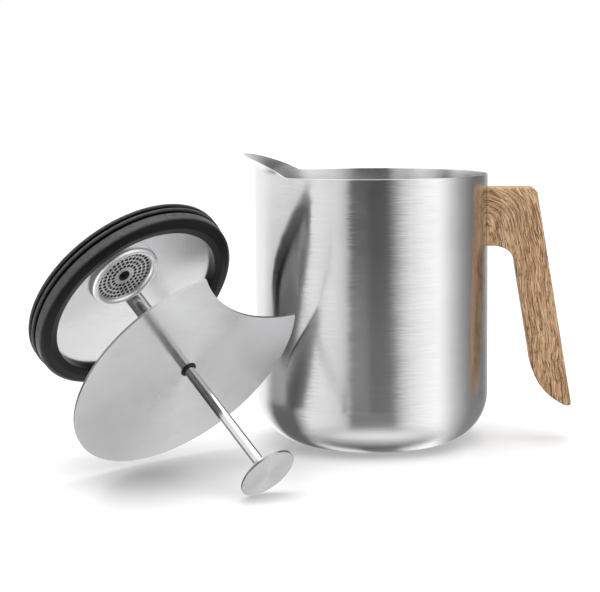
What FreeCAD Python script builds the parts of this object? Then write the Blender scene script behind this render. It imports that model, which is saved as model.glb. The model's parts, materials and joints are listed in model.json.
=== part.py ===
# French press: insulated steel jug with an oak handle, and a lift-out plunger with its lid.
#
# Frame: millimetres, +Z up. The origin is the centre of the jug's base on the table.
# +X points to the handle, -X to the spout. The plunger lies propped in front of the spout.
# The plunger's pieces are drawn about their own axis (Z, with 0 at the lid's top face and
# + towards the knob) and are then placed together.
import FreeCAD, Part
import math
import os

import Sketcher

Vector = FreeCAD.Vector

# ---------------------------------------------------------------- driving dimensions

DIMENSIONS = {
    # jug
    "jug_radius": (55.0, "outside of the wall"),
    "jug_height": (126.5, "table to rim"),
    "base_corner_radius": (23.5, "outside corner of the foot"),
    "shell_thickness": (0.6, "each of the two shells"),
    "rim_thickness": (1.0, "outer shell at the rim"),
    "rim_band_height": (9.0, "depth of the thick rim band"),
    "funnel_height": (10.0, "cone from the rim band down to the bore"),
    "bore_radius": (49.2, "inside of the inner shell"),
    "floor_height": (8.0, "inside floor above the table"),
    "floor_corner_radius": (17.0, "inside corner at the floor"),
    "base_cap_radius": (28.0, "closing disc in the foot"),
    "base_cap_thickness": (0.8, ""),
    "spout_rise": (9.7, "tip above the rim"),
    "spout_reach": (5.9, "tip beyond the wall"),
    "spout_half_angle": (47.0, "half of the rim that the spout takes, degrees"),
    "spout_flare_start": (1.5, "height above the rim where the flare begins"),
    "spout_root": (6.0, "how far the spout's sheet runs down into the rim band"),
    "spout_thickness": (0.8, "of the flared sheet, measured level"),
    # handle
    "handle_width": (18.0, "across the grip"),
    "handle_edge_radius": (4.0, "rounding along the grip"),
    "handle_drop": (6.5, "rim down to the top of the arm"),
    "arm_height": (27.2, "where the arm meets the wall"),
    "arm_reach": (22.4, "wall to the outer corner of the arm"),
    "arm_corner_radius": (5.0, "outer corner of the arm"),
    "grip_corner_radius": (6.0, "finger gap's corner"),
    "leg_length": (102.5, "arm top to the tip"),
    "leg_spread": (16.6, "how far the leg leans out"),
    "leg_thickness": (15.8, "leg, measured level"),
    "tip_cut_height": (24.0, "height of the slanted end of the leg"),
    "tip_flat": (3.0, "end of the leg, measured level"),
    "bracket_pad_width": (14.0, "welded pad, across"),
    "bracket_pad_height": (20.0, "welded pad, up"),
    "bracket_pad_thickness": (1.2, ""),
    "tongue_width": (6.0, "across"),
    "tongue_height": (14.0, "up"),
    "tongue_length": (14.0, "wall to its end"),
    "handle_screw_radius": (2.0, "thread"),
    "handle_screw_head_radius": (3.8, ""),
    "handle_screw_head_height": (2.2, ""),
    "handle_screw_reach": (5.5, "wall to the screw's axis"),
    "handle_screw_sink": (1.65, "countersink of the head"),
    "handle_root_depth": (5.875, "wood drawn inside the wall before the saddle is cut"),
    "finger_gap_ease": (1.25, "finger gap's corner towards the leg"),
    "joint_clearance": (0.1, "glued or screwed joints in the wood"),
    # plunger
    "lid_radius": (55.0, ""),
    "lid_thickness": (1.0, ""),
    "bite_depth": (21.7, "rim to the deepest point of the bite"),
    "bite_radius": (75.0, "concave edge"),
    "bite_heading": (112.6, "about the rod, degrees"),
    "rod_radius": (2.4, ""),
    "running_clearance": (0.05, "radial, bush on rod and lid on bush"),
    "bush_lip_radius": (3.6, "visible lip"),
    "bush_lip_height": (0.4, ""),
    "bush_wall": (0.7, "bush body around the rod"),
    "bush_length": (2.2, "below the lid's top face"),
    "bush_float": (0.05, "axial play of the lid on its bush"),
    "retainer_radius": (5.5, "push-on ring under the lid"),
    "retainer_thickness": (0.9, ""),
    "knob_height": (62.0, "lid's top face to the knob's face"),
    "knob_radius": (12.6, ""),
    "knob_thickness": (1.6, ""),
    "knob_bevel": (0.7, ""),
    "neck_radius": (4.0, ""),
    "neck_length": (5.0, ""),
    "neck_bevel": (0.6, ""),
    "thread_radius": (2.0, "both ends of the rod"),
    "knob_thread_length": (5.0, "rod inside the neck"),
    "piston_depth": (45.5, "lid's top face to the piston disc"),
    "piston_disc_radius": (46.0, ""),
    "piston_disc_thickness": (0.8, ""),
    "clamp_plate_radius": (43.0, ""),
    "clamp_plate_thickness": (1.0, ""),
    "socket_radius": (3.9, ""),
    "socket_height": (12.0, ""),
    "socket_bevel": (0.5, ""),
    "fixed_clearance": (0.05, "screwed and clamped pieces of the plunger"),
    "washer_radius": (5.0, ""),
    "washer_thickness": (1.0, ""),
    "nut_across_flats": (8.0, ""),
    "nut_height": (4.0, ""),
    "stud_end": (0.6, "thread beyond the nut"),
    "seal_face_radius": (48.4, "outside of the seal's front rim"),
    "seal_inner_radius": (40.1, "inside of the seal's front rim"),
    "seal_front": (3.6, "front face above the piston disc"),
    "seal_edge_radius": (1.0, "front rim, outer edge"),
    "seal_wall_height": (5.0, "smooth wall behind the front face"),
    "seal_groove_radius": (46.9, "grooves between the lips"),
    "seal_groove_height": (1.5, ""),
    "seal_lip_clearance": (0.2, "lips in the bore"),
    "seal_lip_height": (1.2, ""),
    "seal_slot_clearance": (0.1, "around the piston disc's edge"),
    "strainer_gap": (0.7, "rod's socket to the strainer's ring"),
    "strainer_heading": (178.4, "about the rod, degrees"),
    "strainer_ring_radius": (16.2, ""),
    "strainer_ring_height": (2.8, "above the piston disc"),
    "strainer_mouth_radius": (12.9, "inside of the ring's rounded rim"),
    "strainer_disc_radius": (13.5, ""),
    "strainer_disc_thickness": (0.5, ""),
    "strainer_disc_lift": (0.4, "underside above the piston disc"),
    "strainer_hole_radius": (0.6, ""),
    "strainer_first_ring": (5.6, "radius of the innermost ring of holes"),
    "strainer_ring_step": (2.1, "between rings of holes"),
    "strainer_first_count": (18, "holes in the innermost ring"),
    "strainer_count_step": (6, "more holes in each further ring"),
    "strainer_rings": (4, "rings of holes"),
    "mesh_thickness": (0.2, ""),
    "plug_head_radius": (2.65, ""),
    "plug_head_height": (1.2, ""),
    "plug_stem_radius": (1.2, ""),
    "plug_foot_radius": (2.2, ""),
    "plug_foot_height": (1.0, ""),
    "sleeve_thickness": (0.8, "strainer retainer, wall"),
    "sleeve_flange_radius": (15.2, "strainer retainer, flange"),
    "sleeve_flange_thickness": (0.9, ""),
    # where the propped plunger lies
    "plunger_x": (-75.3, "lid centre"),
    "plunger_y": (-85.4, "lid centre"),
    "plunger_z": (47.2, "lid centre"),
    "plunger_tilt": (126.5, "from +Z, degrees"),
    "plunger_heading": (-41.6, "about +Z, degrees"),
}

document = FreeCAD.newDocument("french_press")
sheet = document.addObject("Spreadsheet::Sheet", "dims")
for row, (alias, (value, note)) in enumerate(DIMENSIONS.items(), start=1):
    sheet.set("A" + str(row), str(value))
    sheet.setAlias("A" + str(row), alias)
    sheet.set("B" + str(row), note)
document.recompute()


def size(expression):
    """Value of an expression of the sheet's aliases."""
    return float(sheet.evalExpression(expression))


# ---------------------------------------------------------------- drawing helpers

def new_body(label):
    body = document.addObject("PartDesign::Body", label)
    body.Label = label
    return body


def origin_feature(body, role):
    for feature in body.Origin.OriginFeatures:
        if feature.Role == role:
            return feature
    raise ValueError(role)


def new_sketch(body, name, role, lift=None):
    """Sketch on one of the body's origin planes, raised along its normal by an expression."""
    sketch = body.newObject("Sketcher::SketchObject", name)
    sketch.AttachmentSupport = [(origin_feature(body, role), "")]
    sketch.MapMode = "FlatFace"
    if lift is not None:
        sketch.setExpression("AttachmentOffset.Base.z", lift)
    return sketch


def bind(sketch, constraint, expression):
    index = sketch.addConstraint(constraint)
    sketch.setExpression("Constraints[%d]" % index, expression)


def pin_point(sketch, geometry, end, x_expression, y_expression):
    """Holds one end of a line or arc, or a centre, at a bound place."""
    for kind, axis, expression in (("DistanceX", -2, x_expression), ("DistanceY", -1, y_expression)):
        if expression == "0":
            sketch.addConstraint(Sketcher.Constraint("PointOnObject", geometry, end, axis))
        else:
            value = size(expression)
            bind(sketch, Sketcher.Constraint(kind, -1, 1, geometry, end, value), expression)


def arc_between(start, end, radius):
    """Arc from start to end; a positive radius turns left, a negative one right."""
    chord = end - start
    half = chord.Length / 2
    rise = math.sqrt(max(radius * radius - half * half, 0.0))
    normal = Vector(-chord.y, chord.x, 0).normalize()
    centre = (start + end) * 0.5 + normal * math.copysign(rise, radius)
    first, last = (start, end) if radius > 0 else (end, start)
    angle_first = math.atan2(first.y - centre.y, first.x - centre.x)
    angle_last = math.atan2(last.y - centre.y, last.x - centre.x)
    if angle_last < angle_first:
        angle_last += 2 * math.pi
    circle = Part.Circle(centre, Vector(0, 0, 1), abs(radius))
    return Part.ArcOfCircle(circle, angle_first, angle_last)


def draw_outline(sketch, corners):
    """Closed outline. A corner is (x, y), reached by a straight edge, or (x, y, radius, turn),
    reached by an arc that turns left (1) or right (-1)."""
    places = [Vector(size(corner[0]), size(corner[1]), 0) for corner in corners]
    edges = []
    for index, corner in enumerate(corners):
        start = places[index - 1]
        end = places[index]
        if len(corner) == 2:
            edges.append((sketch.addGeometry(Part.LineSegment(start, end), False), 1, 2))
        else:
            radius = corner[3] * size(corner[2])
            edge = sketch.addGeometry(arc_between(start, end, radius), False)
            edges.append((edge, 1, 2) if corner[3] > 0 else (edge, 2, 1))
    for index, corner in enumerate(corners):
        edge, _, finish = edges[index]
        following, begin, _ = edges[(index + 1) % len(corners)]
        sketch.addConstraint(Sketcher.Constraint("Coincident", edge, finish, following, begin))
        pin_point(sketch, edge, finish, corner[0], corner[1])
        if len(corner) == 4:
            bind(sketch, Sketcher.Constraint("Radius", edge, abs(size(corner[2]))), corner[2])


def draw_circle(sketch, x_expression, y_expression, radius_expression):
    centre = Vector(size(x_expression), size(y_expression), 0)
    circle = sketch.addGeometry(Part.Circle(centre, Vector(0, 0, 1), size(radius_expression)), False)
    pin_point(sketch, circle, 3, x_expression, y_expression)
    bind(sketch, Sketcher.Constraint("Radius", circle, size(radius_expression)), radius_expression)


def draw_box(sketch, left, right, low, high):
    draw_outline(sketch, [(left, low), (right, low), (right, high), (left, high)])


def revolve(body, sketch, name="turned"):
    feature = body.newObject("PartDesign::Revolution", name)
    feature.Profile = sketch
    feature.ReferenceAxis = (sketch, ["V_Axis"])
    feature.Angle = 360
    document.recompute()
    return feature


def groove(body, sketch, name="turned_cut"):
    feature = body.newObject("PartDesign::Groove", name)
    feature.Profile = sketch
    feature.ReferenceAxis = (sketch, ["V_Axis"])
    feature.Angle = 360
    document.recompute()
    return feature


def pad(body, sketch, length, both_sides=False, name="pad"):
    feature = body.newObject("PartDesign::Pad", name)
    feature.Profile = sketch
    feature.setExpression("Length", length)
    if both_sides:
        feature.SideType = "Symmetric"
    document.recompute()
    return feature


def pocket(body, sketch, length, away=False, both_sides=False, name="pocket"):
    """Cut from the sketch plane; away=True cuts towards the plane's own normal."""
    before = body.Shape.Volume
    feature = body.newObject("PartDesign::Pocket", name)
    feature.Profile = sketch
    feature.setExpression("Length", length)
    feature.Reversed = away
    if both_sides:
        feature.SideType = "Symmetric"
    document.recompute()
    if body.Shape.Volume >= before:
        raise RuntimeError(body.Label + ": " + name + " cuts nothing")
    return feature


def turned_body(label, corners):
    """Body turned about its Z axis from an outline of (radius, height) corners."""
    body = new_body(label)
    sketch = new_sketch(body, "outline", "XZ_Plane")
    draw_outline(sketch, corners)
    revolve(body, sketch)
    return body


def edges_where(shape, wanted):
    return ["Edge%d" % (index + 1) for index, edge in enumerate(shape.Edges) if wanted(edge)]


def dress(body, kind, base, edges, expression, name):
    """Fillet or Chamfer on named edges of a feature of the body."""
    feature = body.newObject("PartDesign::" + kind, name)
    feature.Base = (base, edges)
    feature.setExpression("Radius" if kind == "Fillet" else "Size", expression)
    document.recompute()
    return feature


subparts = {}


def keep(label, thing):
    thing.Label = label
    subparts[label] = thing
    return thing


# ---------------------------------------------------------------- jug

SPOUT_SECTIONS = 16
CURVE_POINTS = 9


def lip_height(angle):
    """Height of the spout's edge at an angle (degrees) away from the tip: a parabola."""
    share = angle / size("dims.spout_half_angle")
    return size("dims.jug_height") + size("dims.spout_rise") * (1 - share * share)


def flare_radius(height, face_radius):
    """The sheet stands straight up from the rim, then curls outwards as a parabola."""
    start = size("dims.jug_height + dims.spout_flare_start")
    top = size("dims.jug_height + dims.spout_rise")
    share = max(height - start, 0.0) / (top - start)
    return face_radius + size("dims.spout_reach") * share * share


def spout_section(angle, outer_face, inner_face):
    """One upright section of the spout's sheet, in the plane at an angle from -X."""
    bottom = size("dims.jug_height - dims.spout_root")
    top = lip_height(angle)
    heading = math.radians(180 + angle)

    def curve(face_radius):
        points = []
        for step in range(CURVE_POINTS):
            height = bottom + (top - bottom) * step / (CURVE_POINTS - 1)
            radius = flare_radius(height, face_radius)
            points.append(Vector(radius * math.cos(heading), radius * math.sin(heading), height))
        spline = Part.BSplineCurve()
        spline.interpolate(points)
        return spline.toShape(), points[0], points[-1]

    outer, outer_low, outer_high = curve(outer_face)
    inner, inner_low, inner_high = curve(inner_face)
    lip = Part.makeLine(outer_high, inner_high)
    root = Part.makeLine(inner_low, outer_low)
    return Part.Wire([outer, lip, inner, root])


def build_spout_sheet():
    """Sheet that rises out of the rim band and flares to the pouring tip."""
    middle = size("dims.jug_radius - dims.rim_thickness / 2")
    outer_face = middle + size("dims.spout_thickness") / 2
    inner_face = middle - size("dims.spout_thickness") / 2
    half = size("dims.spout_half_angle")
    angles = [half * (2 * index / (SPOUT_SECTIONS - 1) - 1) for index in range(SPOUT_SECTIONS)]
    sections = [spout_section(angle, outer_face, inner_face) for angle in angles]
    sheet_part = document.addObject("Part::Feature", "spout_sheet")
    sheet_part.Shape = Part.makeLoft(sections, True, False)
    return sheet_part


def build_outer_shell():
    wall = "dims.shell_thickness"
    radius = "dims.jug_radius"
    corner = "dims.base_corner_radius"
    inside = radius + " - " + wall
    inside_corner = corner + " - " + wall
    band = radius + " - dims.rim_thickness"
    band_low = "dims.jug_height - dims.rim_band_height"
    shell = turned_body("outer_shell_turned", [
        ("dims.base_cap_radius", "0"),
        (radius + " - " + corner, "0"),
        (radius, corner, corner, 1),
        (radius, "dims.jug_height"),
        (band, "dims.jug_height"),
        (band, band_low),
        (inside, band_low + " - dims.rim_thickness"),
        (inside, corner),
        (radius + " - " + corner, wall, inside_corner, -1),
        ("dims.base_cap_radius", wall),
    ])
    joined = document.addObject("Part::Fuse", "outer_shell")
    joined.Base = shell
    joined.Tool = build_spout_sheet()
    joined.Refine = False
    document.recompute()
    keep("jug_outer_shell", joined)


def build_inner_shell():
    wall = "dims.shell_thickness"
    bore = "dims.bore_radius"
    outside = bore + " + " + wall
    seat = "dims.jug_radius - dims.rim_thickness"
    top = "dims.jug_height - dims.rim_band_height + 2 * " + wall
    cone_low = "dims.jug_height - dims.rim_band_height - dims.funnel_height"
    cone_low_outside = cone_low + " - " + wall
    floor = "dims.floor_height"
    under = floor + " - " + wall
    corner = "dims.floor_corner_radius"
    outside_corner = corner + " + " + wall
    body = turned_body("jug_inner_shell", [
        ("0", under),
        (bore + " - " + corner, under),
        (outside, floor + " + " + corner, outside_corner, 1),
        (outside, cone_low_outside),
        (seat, top + " - 2 * " + wall),
        (seat, top),
        (seat + " - " + wall, top),
        (bore, cone_low),
        (bore, floor + " + " + corner),
        (bore + " - " + corner, floor, corner, -1),
        ("0", floor),
    ])
    keep("jug_inner_shell", body)


def build_base_cap():
    body = turned_body("jug_base_cap", [
        ("0", "0"),
        ("dims.base_cap_radius", "0"),
        ("dims.base_cap_radius", "dims.base_cap_thickness"),
        ("0", "dims.base_cap_thickness"),
    ])
    keep("jug_base_cap", body)


# ---------------------------------------------------------------- handle

ARM_TOP = "dims.jug_height - dims.handle_drop"
ARM_BOTTOM = "dims.jug_height - dims.handle_drop - dims.arm_height"
ARM_END = "dims.jug_radius + dims.arm_reach"
LEG_TIP = "dims.jug_height - dims.handle_drop - dims.leg_length"
BRACKET_MIDDLE = "dims.jug_height - dims.handle_drop - dims.arm_height / 2"
SCREW_AXIS = "dims.jug_radius + dims.handle_screw_reach"


def leg_outside(height):
    """Level place of the leg's outer edge at a height, as an expression."""
    return ("({end}) + dims.leg_spread * (({top}) - ({height})) / dims.leg_length"
            .format(end=ARM_END, top=ARM_TOP, height=height))


def build_handle():
    body = new_body("handle")
    grip = new_sketch(body, "side_view", "XZ_Plane")
    corner_low = "({0}) - dims.arm_corner_radius".format(ARM_TOP)
    cut_high = "({0}) + dims.tip_cut_height".format(LEG_TIP)
    gap_corner_low = "({0}) - dims.grip_corner_radius".format(ARM_BOTTOM)
    root = "dims.jug_radius - dims.handle_root_depth"
    draw_outline(grip, [
        (root, ARM_TOP),
        (root, ARM_BOTTOM),
        ("({0}) - dims.leg_thickness - dims.grip_corner_radius + dims.finger_gap_ease"
         .format(leg_outside(ARM_BOTTOM)), ARM_BOTTOM),
        (leg_outside(gap_corner_low) + " - dims.leg_thickness", gap_corner_low,
         "dims.grip_corner_radius", -1),
        (leg_outside(cut_high) + " - dims.leg_thickness", cut_high),
        (leg_outside(LEG_TIP) + " - dims.tip_flat", LEG_TIP, "dims.tip_cut_height", 1),
        (leg_outside(LEG_TIP), LEG_TIP),
        (leg_outside(corner_low), corner_low),
        (ARM_END + " - dims.arm_corner_radius", ARM_TOP, "dims.arm_corner_radius", 1),
    ])
    grip_pad = pad(body, grip, "dims.handle_width", both_sides=True)
    half_width = size("dims.handle_width / 2")
    wall = size("dims.jug_radius")
    cut_top = size(cut_high)

    def along_grip(edge):
        box = edge.BoundBox
        on_side = abs(abs(box.YMin) - half_width) < 1e-6 and abs(box.YMax - box.YMin) < 1e-6
        return on_side and box.XMax > wall and box.ZMax > cut_top + 1e-6

    dress(body, "Fillet", grip_pad, edges_where(grip_pad.Shape, along_grip),
          "dims.handle_edge_radius", "rounded_grip")
    # saddle on the jug's wall
    saddle = new_sketch(body, "saddle", "XZ_Plane")
    draw_box(saddle, "0", "dims.jug_radius + dims.joint_clearance",
             "({0}) - dims.arm_height".format(ARM_BOTTOM), "({0}) + dims.arm_height".format(ARM_TOP))
    groove(body, saddle, "saddle_cut")
    # recess for the bracket's pad and mortise for its tongue
    gap = "dims.joint_clearance"
    pad_half = "dims.bracket_pad_width / 2 + " + gap
    pad_rise = "dims.bracket_pad_height / 2 + " + gap
    recess = new_sketch(body, "pad_recess", "YZ_Plane")
    draw_box(recess, "-(" + pad_half + ")", pad_half,
             "({0}) - ({1})".format(BRACKET_MIDDLE, pad_rise),
             "({0}) + ({1})".format(BRACKET_MIDDLE, pad_rise))
    pocket(body, recess, "dims.jug_radius + dims.bracket_pad_thickness + " + gap, away=True,
           name="recess_cut")
    tongue_half = "dims.tongue_width / 2 + " + gap
    tongue_rise = "dims.tongue_height / 2 + " + gap
    mortise = new_sketch(body, "mortise", "YZ_Plane")
    draw_box(mortise, "-(" + tongue_half + ")", tongue_half,
             "({0}) - ({1})".format(BRACKET_MIDDLE, tongue_rise),
             "({0}) + ({1})".format(BRACKET_MIDDLE, tongue_rise))
    pocket(body, mortise, "dims.jug_radius + dims.tongue_length + " + gap, away=True, name="mortise_cut")
    # screw hole and its countersink, from below the arm
    hole = new_sketch(body, "screw_hole", "XY_Plane")
    draw_circle(hole, SCREW_AXIS, "0", "dims.handle_screw_radius + " + gap)
    pocket(body, hole, BRACKET_MIDDLE, away=True, name="screw_hole_cut")
    sink = new_sketch(body, "screw_sink", "XY_Plane")
    draw_circle(sink, SCREW_AXIS, "0", "dims.handle_screw_head_radius + " + gap)
    pocket(body, sink, "({0}) + dims.handle_screw_head_height + {1}".format(ARM_BOTTOM, gap),
           away=True, name="screw_sink_cut")
    keep("handle", body)


def build_handle_bracket():
    body = new_body("handle_bracket")
    plate = new_sketch(body, "plate", "YZ_Plane")
    half_pad = "dims.bracket_pad_width / 2"
    half_rise = "dims.bracket_pad_height / 2"
    draw_box(plate, "-" + half_pad, half_pad,
             "({0}) - {1}".format(BRACKET_MIDDLE, half_rise),
             "({0}) + {1}".format(BRACKET_MIDDLE, half_rise))
    pad(body, plate, "dims.jug_radius + dims.bracket_pad_thickness", name="plate_pad")
    tongue = new_sketch(body, "tongue", "YZ_Plane")
    half_tongue = "dims.tongue_width / 2"
    half_height = "dims.tongue_height / 2"
    draw_box(tongue, "-" + half_tongue, half_tongue,
             "({0}) - {1}".format(BRACKET_MIDDLE, half_height),
             "({0}) + {1}".format(BRACKET_MIDDLE, half_height))
    pad(body, tongue, "dims.jug_radius + dims.tongue_length", name="tongue_pad")
    weld_face = new_sketch(body, "weld_face", "XZ_Plane")
    draw_box(weld_face, "0", "dims.jug_radius", "({0}) - dims.bracket_pad_height".format(BRACKET_MIDDLE),
             "({0}) + dims.bracket_pad_height".format(BRACKET_MIDDLE))
    groove(body, weld_face, "weld_face_cut")
    tapped = new_sketch(body, "tapped_hole", "XY_Plane")
    draw_circle(tapped, SCREW_AXIS, "0", "dims.handle_screw_radius")
    pocket(body, tapped, BRACKET_MIDDLE, away=True, name="tapped_hole_cut")
    keep("handle_bracket", body)


def build_handle_screw():
    body = new_body("handle_screw")
    head = new_sketch(body, "head", "XY_Plane", ARM_BOTTOM)
    draw_circle(head, "0", "0", "dims.handle_screw_head_radius")
    head_pad = pad(body, head, "dims.handle_screw_head_height", name="head_pad")
    top = size("({0}) + dims.handle_screw_head_height".format(ARM_BOTTOM))
    upper = edges_where(head_pad.Shape, lambda edge: abs(edge.BoundBox.ZMin - top) < 1e-6)
    dress(body, "Chamfer", head_pad, upper, "dims.handle_screw_sink", "countersink")
    shank = new_sketch(body, "shank", "XY_Plane", ARM_BOTTOM)
    draw_circle(shank, "0", "0", "dims.handle_screw_radius")
    pad(body, shank, "dims.arm_height / 2", name="shank_pad")
    body.Placement = FreeCAD.Placement(Vector(size(SCREW_AXIS), 0, 0), FreeCAD.Rotation())
    keep("handle_screw", body)


# ---------------------------------------------------------------- plunger, about its own axis

PISTON_TOP = "-dims.piston_depth"
PISTON_UNDER = "-dims.piston_depth - dims.piston_disc_thickness"
CLAMP_UNDER = "-dims.piston_depth - dims.piston_disc_thickness - dims.clamp_plate_thickness"
WASHER_UNDER = CLAMP_UNDER + " - dims.washer_thickness"
NUT_UNDER = WASHER_UNDER + " - dims.nut_height"
THREAD_BORE = "dims.thread_radius + dims.fixed_clearance"
KNOB_UNDER = "dims.knob_height - dims.knob_thickness"
NECK_UNDER = "dims.knob_height - dims.knob_thickness - dims.neck_length"
STRAINER_OFFSET = "(dims.socket_radius + dims.strainer_gap + dims.strainer_ring_radius)"
STRAINER_X = STRAINER_OFFSET + " * cos(dims.strainer_heading)"
STRAINER_Y = STRAINER_OFFSET + " * sin(dims.strainer_heading)"


def plunger_placement():
    heading = math.radians(size("dims.plunger_heading"))
    level_axis = Vector(-math.sin(heading), math.cos(heading), 0)
    place = Vector(size("dims.plunger_x"), size("dims.plunger_y"), size("dims.plunger_z"))
    return FreeCAD.Placement(place, FreeCAD.Rotation(level_axis, size("dims.plunger_tilt")))


def strainer_placement():
    """The strainer's pieces are turned about their own axis, beside the rod."""
    beside = FreeCAD.Placement(Vector(size(STRAINER_X), size(STRAINER_Y), 0), FreeCAD.Rotation())
    return plunger_placement().multiply(beside)


def keep_on_plunger(label, body, placement=None):
    body.Placement = placement if placement is not None else plunger_placement()
    keep(label, body)


def washer_shape(label, inner, outer, low, high):
    return turned_body(label, [(inner, low), (outer, low), (outer, high), (inner, high)])


def build_rod():
    thread = "dims.thread_radius"
    knob_thread = NECK_UNDER + " + dims.knob_thread_length"
    body = turned_body("plunger_rod", [
        ("0", NUT_UNDER + " - dims.stud_end"),
        (thread, NUT_UNDER + " - dims.stud_end"),
        (thread, PISTON_TOP),
        ("dims.rod_radius", PISTON_TOP),
        ("dims.rod_radius", NECK_UNDER),
        (thread, NECK_UNDER),
        (thread, knob_thread),
        ("0", knob_thread),
    ])
    keep_on_plunger("plunger_rod", body)


def build_knob():
    face = "dims.knob_height"
    body = turned_body("knob_disc", [
        ("0", KNOB_UNDER),
        ("dims.knob_radius - dims.knob_bevel", KNOB_UNDER),
        ("dims.knob_radius", KNOB_UNDER + " + dims.knob_bevel"),
        ("dims.knob_radius", face),
        ("0", face),
    ])
    keep_on_plunger("knob_disc", body)
    body = turned_body("knob_neck", [
        (THREAD_BORE, NECK_UNDER),
        ("dims.neck_radius - dims.neck_bevel", NECK_UNDER),
        ("dims.neck_radius", NECK_UNDER + " + dims.neck_bevel"),
        ("dims.neck_radius", KNOB_UNDER),
        (THREAD_BORE, KNOB_UNDER),
    ])
    keep_on_plunger("knob_neck", body)


def build_socket():
    top = PISTON_TOP + " + dims.socket_height"
    bore = "dims.rod_radius + dims.fixed_clearance"
    body = turned_body("rod_socket", [
        (bore, PISTON_TOP),
        ("dims.socket_radius", PISTON_TOP),
        ("dims.socket_radius", top + " - dims.socket_bevel"),
        ("dims.socket_radius - dims.socket_bevel", top),
        (bore, top),
    ])
    keep_on_plunger("rod_socket", body)


def build_plate(label, radius, low, thickness):
    """Round plate with the rod's hole and the strainer's opening."""
    body = new_body(label)
    disc = new_sketch(body, "disc", "XY_Plane", low)
    draw_circle(disc, "0", "0", radius)
    draw_circle(disc, "0", "0", THREAD_BORE)
    draw_circle(disc, STRAINER_X, STRAINER_Y, "dims.strainer_disc_radius")
    pad(body, disc, thickness)
    keep_on_plunger(label, body)


def build_seal():
    """Front rim, smooth wall and two thin lips; a slot grips the edge of the piston disc."""
    front = PISTON_TOP + " + dims.seal_front"
    wall_end = front + " - dims.seal_wall_height"
    lip = "dims.bore_radius - dims.seal_lip_clearance"
    groove_radius = "dims.seal_groove_radius"
    lip_one = wall_end + " - dims.seal_groove_height"
    lip_one_end = lip_one + " - dims.seal_lip_height"
    lip_two = lip_one_end + " - dims.seal_groove_height"
    lip_two_end = lip_two + " - dims.seal_lip_height"
    slot = "dims.piston_disc_radius + dims.seal_slot_clearance"
    lower_bore = "dims.clamp_plate_radius + dims.seal_slot_clearance"
    body = turned_body("piston_seal", [
        ("dims.seal_inner_radius", PISTON_TOP),
        (slot, PISTON_TOP),
        (slot, PISTON_UNDER),
        (lower_bore, PISTON_UNDER),
        (lower_bore, lip_two_end),
        (lip, lip_two_end),
        (lip, lip_two),
        (groove_radius, lip_two),
        (groove_radius, lip_one_end),
        (lip, lip_one_end),
        (lip, lip_one),
        (groove_radius, lip_one),
        (groove_radius, wall_end),
        ("dims.seal_face_radius", wall_end),
        ("dims.seal_face_radius", front + " - dims.seal_edge_radius"),
        ("dims.seal_face_radius - dims.seal_edge_radius", front, "dims.seal_edge_radius", 1),
        ("dims.seal_inner_radius", front),
    ])
    keep_on_plunger("piston_seal", body)


def build_washer():
    body = washer_shape("rod_washer", THREAD_BORE, "dims.washer_radius", WASHER_UNDER, CLAMP_UNDER)
    keep_on_plunger("rod_washer", body)


def build_nut():
    body = new_body("rod_nut")
    sketch = new_sketch(body, "hexagon", "XY_Plane", NUT_UNDER)
    flat = "dims.nut_across_flats / 2"
    corner = flat + " / cos(30)"
    half_corner = corner + " / 2"
    draw_outline(sketch, [
        (corner, "0"),
        (half_corner, flat),
        ("-" + half_corner, flat),
        ("-" + corner, "0"),
        ("-" + half_corner, "-" + flat),
        (half_corner, "-" + flat),
    ])
    draw_circle(sketch, "0", "0", THREAD_BORE)
    pad(body, sketch, "dims.nut_height")
    keep_on_plunger("rod_nut", body)


DISC_LOW = PISTON_TOP + " + dims.strainer_disc_lift"
DISC_HIGH = DISC_LOW + " + dims.strainer_disc_thickness"
MESH_LOW = DISC_LOW + " - dims.mesh_thickness"
STEM_HOLE = "dims.plug_stem_radius + dims.fixed_clearance"


def build_strainer_ring():
    top = PISTON_TOP + " + dims.strainer_ring_height"
    mouth = "dims.strainer_mouth_radius"
    ring = "dims.strainer_ring_radius"
    seat = "dims.strainer_disc_radius + dims.fixed_clearance"
    rounding = "(dims.strainer_ring_radius - dims.strainer_mouth_radius) / 2"
    round_low = top + " - " + rounding
    crown = "(dims.strainer_ring_radius + dims.strainer_mouth_radius) / 2"
    body = turned_body("strainer_ring", [
        (seat, PISTON_TOP),
        (ring, PISTON_TOP),
        (ring, round_low),
        (crown, top, rounding, 1),
        (mouth, round_low, rounding, 1),
        (mouth, DISC_HIGH),
        (seat, DISC_HIGH),
    ])
    keep_on_plunger("strainer_ring", body, strainer_placement())


def build_strainer_disc():
    """Thin disc with rings of small holes; one hole of each ring is cut and then repeated."""
    body = new_body("strainer_disc")
    sketch = new_sketch(body, "disc", "XY_Plane", DISC_LOW)
    draw_circle(sketch, "0", "0", "dims.strainer_disc_radius")
    draw_circle(sketch, "0", "0", STEM_HOLE)
    pad(body, sketch, "dims.strainer_disc_thickness")
    for ring_index in range(int(size("dims.strainer_rings"))):
        place = "dims.strainer_first_ring + {0} * dims.strainer_ring_step".format(ring_index)
        hole = new_sketch(body, "hole_%d" % ring_index, "XY_Plane", DISC_LOW)
        draw_circle(hole, place, "0", "dims.strainer_hole_radius")
        cut = pocket(body, hole, "dims.strainer_disc_thickness", away=True, name="hole_cut_%d" % ring_index)
        pattern = body.newObject("PartDesign::PolarPattern", "holes_%d" % ring_index)
        pattern.Originals = [cut]
        pattern.Axis = (hole, ["N_Axis"])
        pattern.Angle = 360
        pattern.setExpression("Occurrences", "dims.strainer_first_count + {0} * dims.strainer_count_step"
                              .format(ring_index))
        body.Tip = pattern
        document.recompute()
    keep_on_plunger("strainer_disc", body, strainer_placement())


def build_strainer_mesh():
    body = washer_shape("strainer_mesh", STEM_HOLE, "dims.strainer_disc_radius", MESH_LOW, DISC_LOW)
    keep_on_plunger("strainer_mesh", body, strainer_placement())


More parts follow.
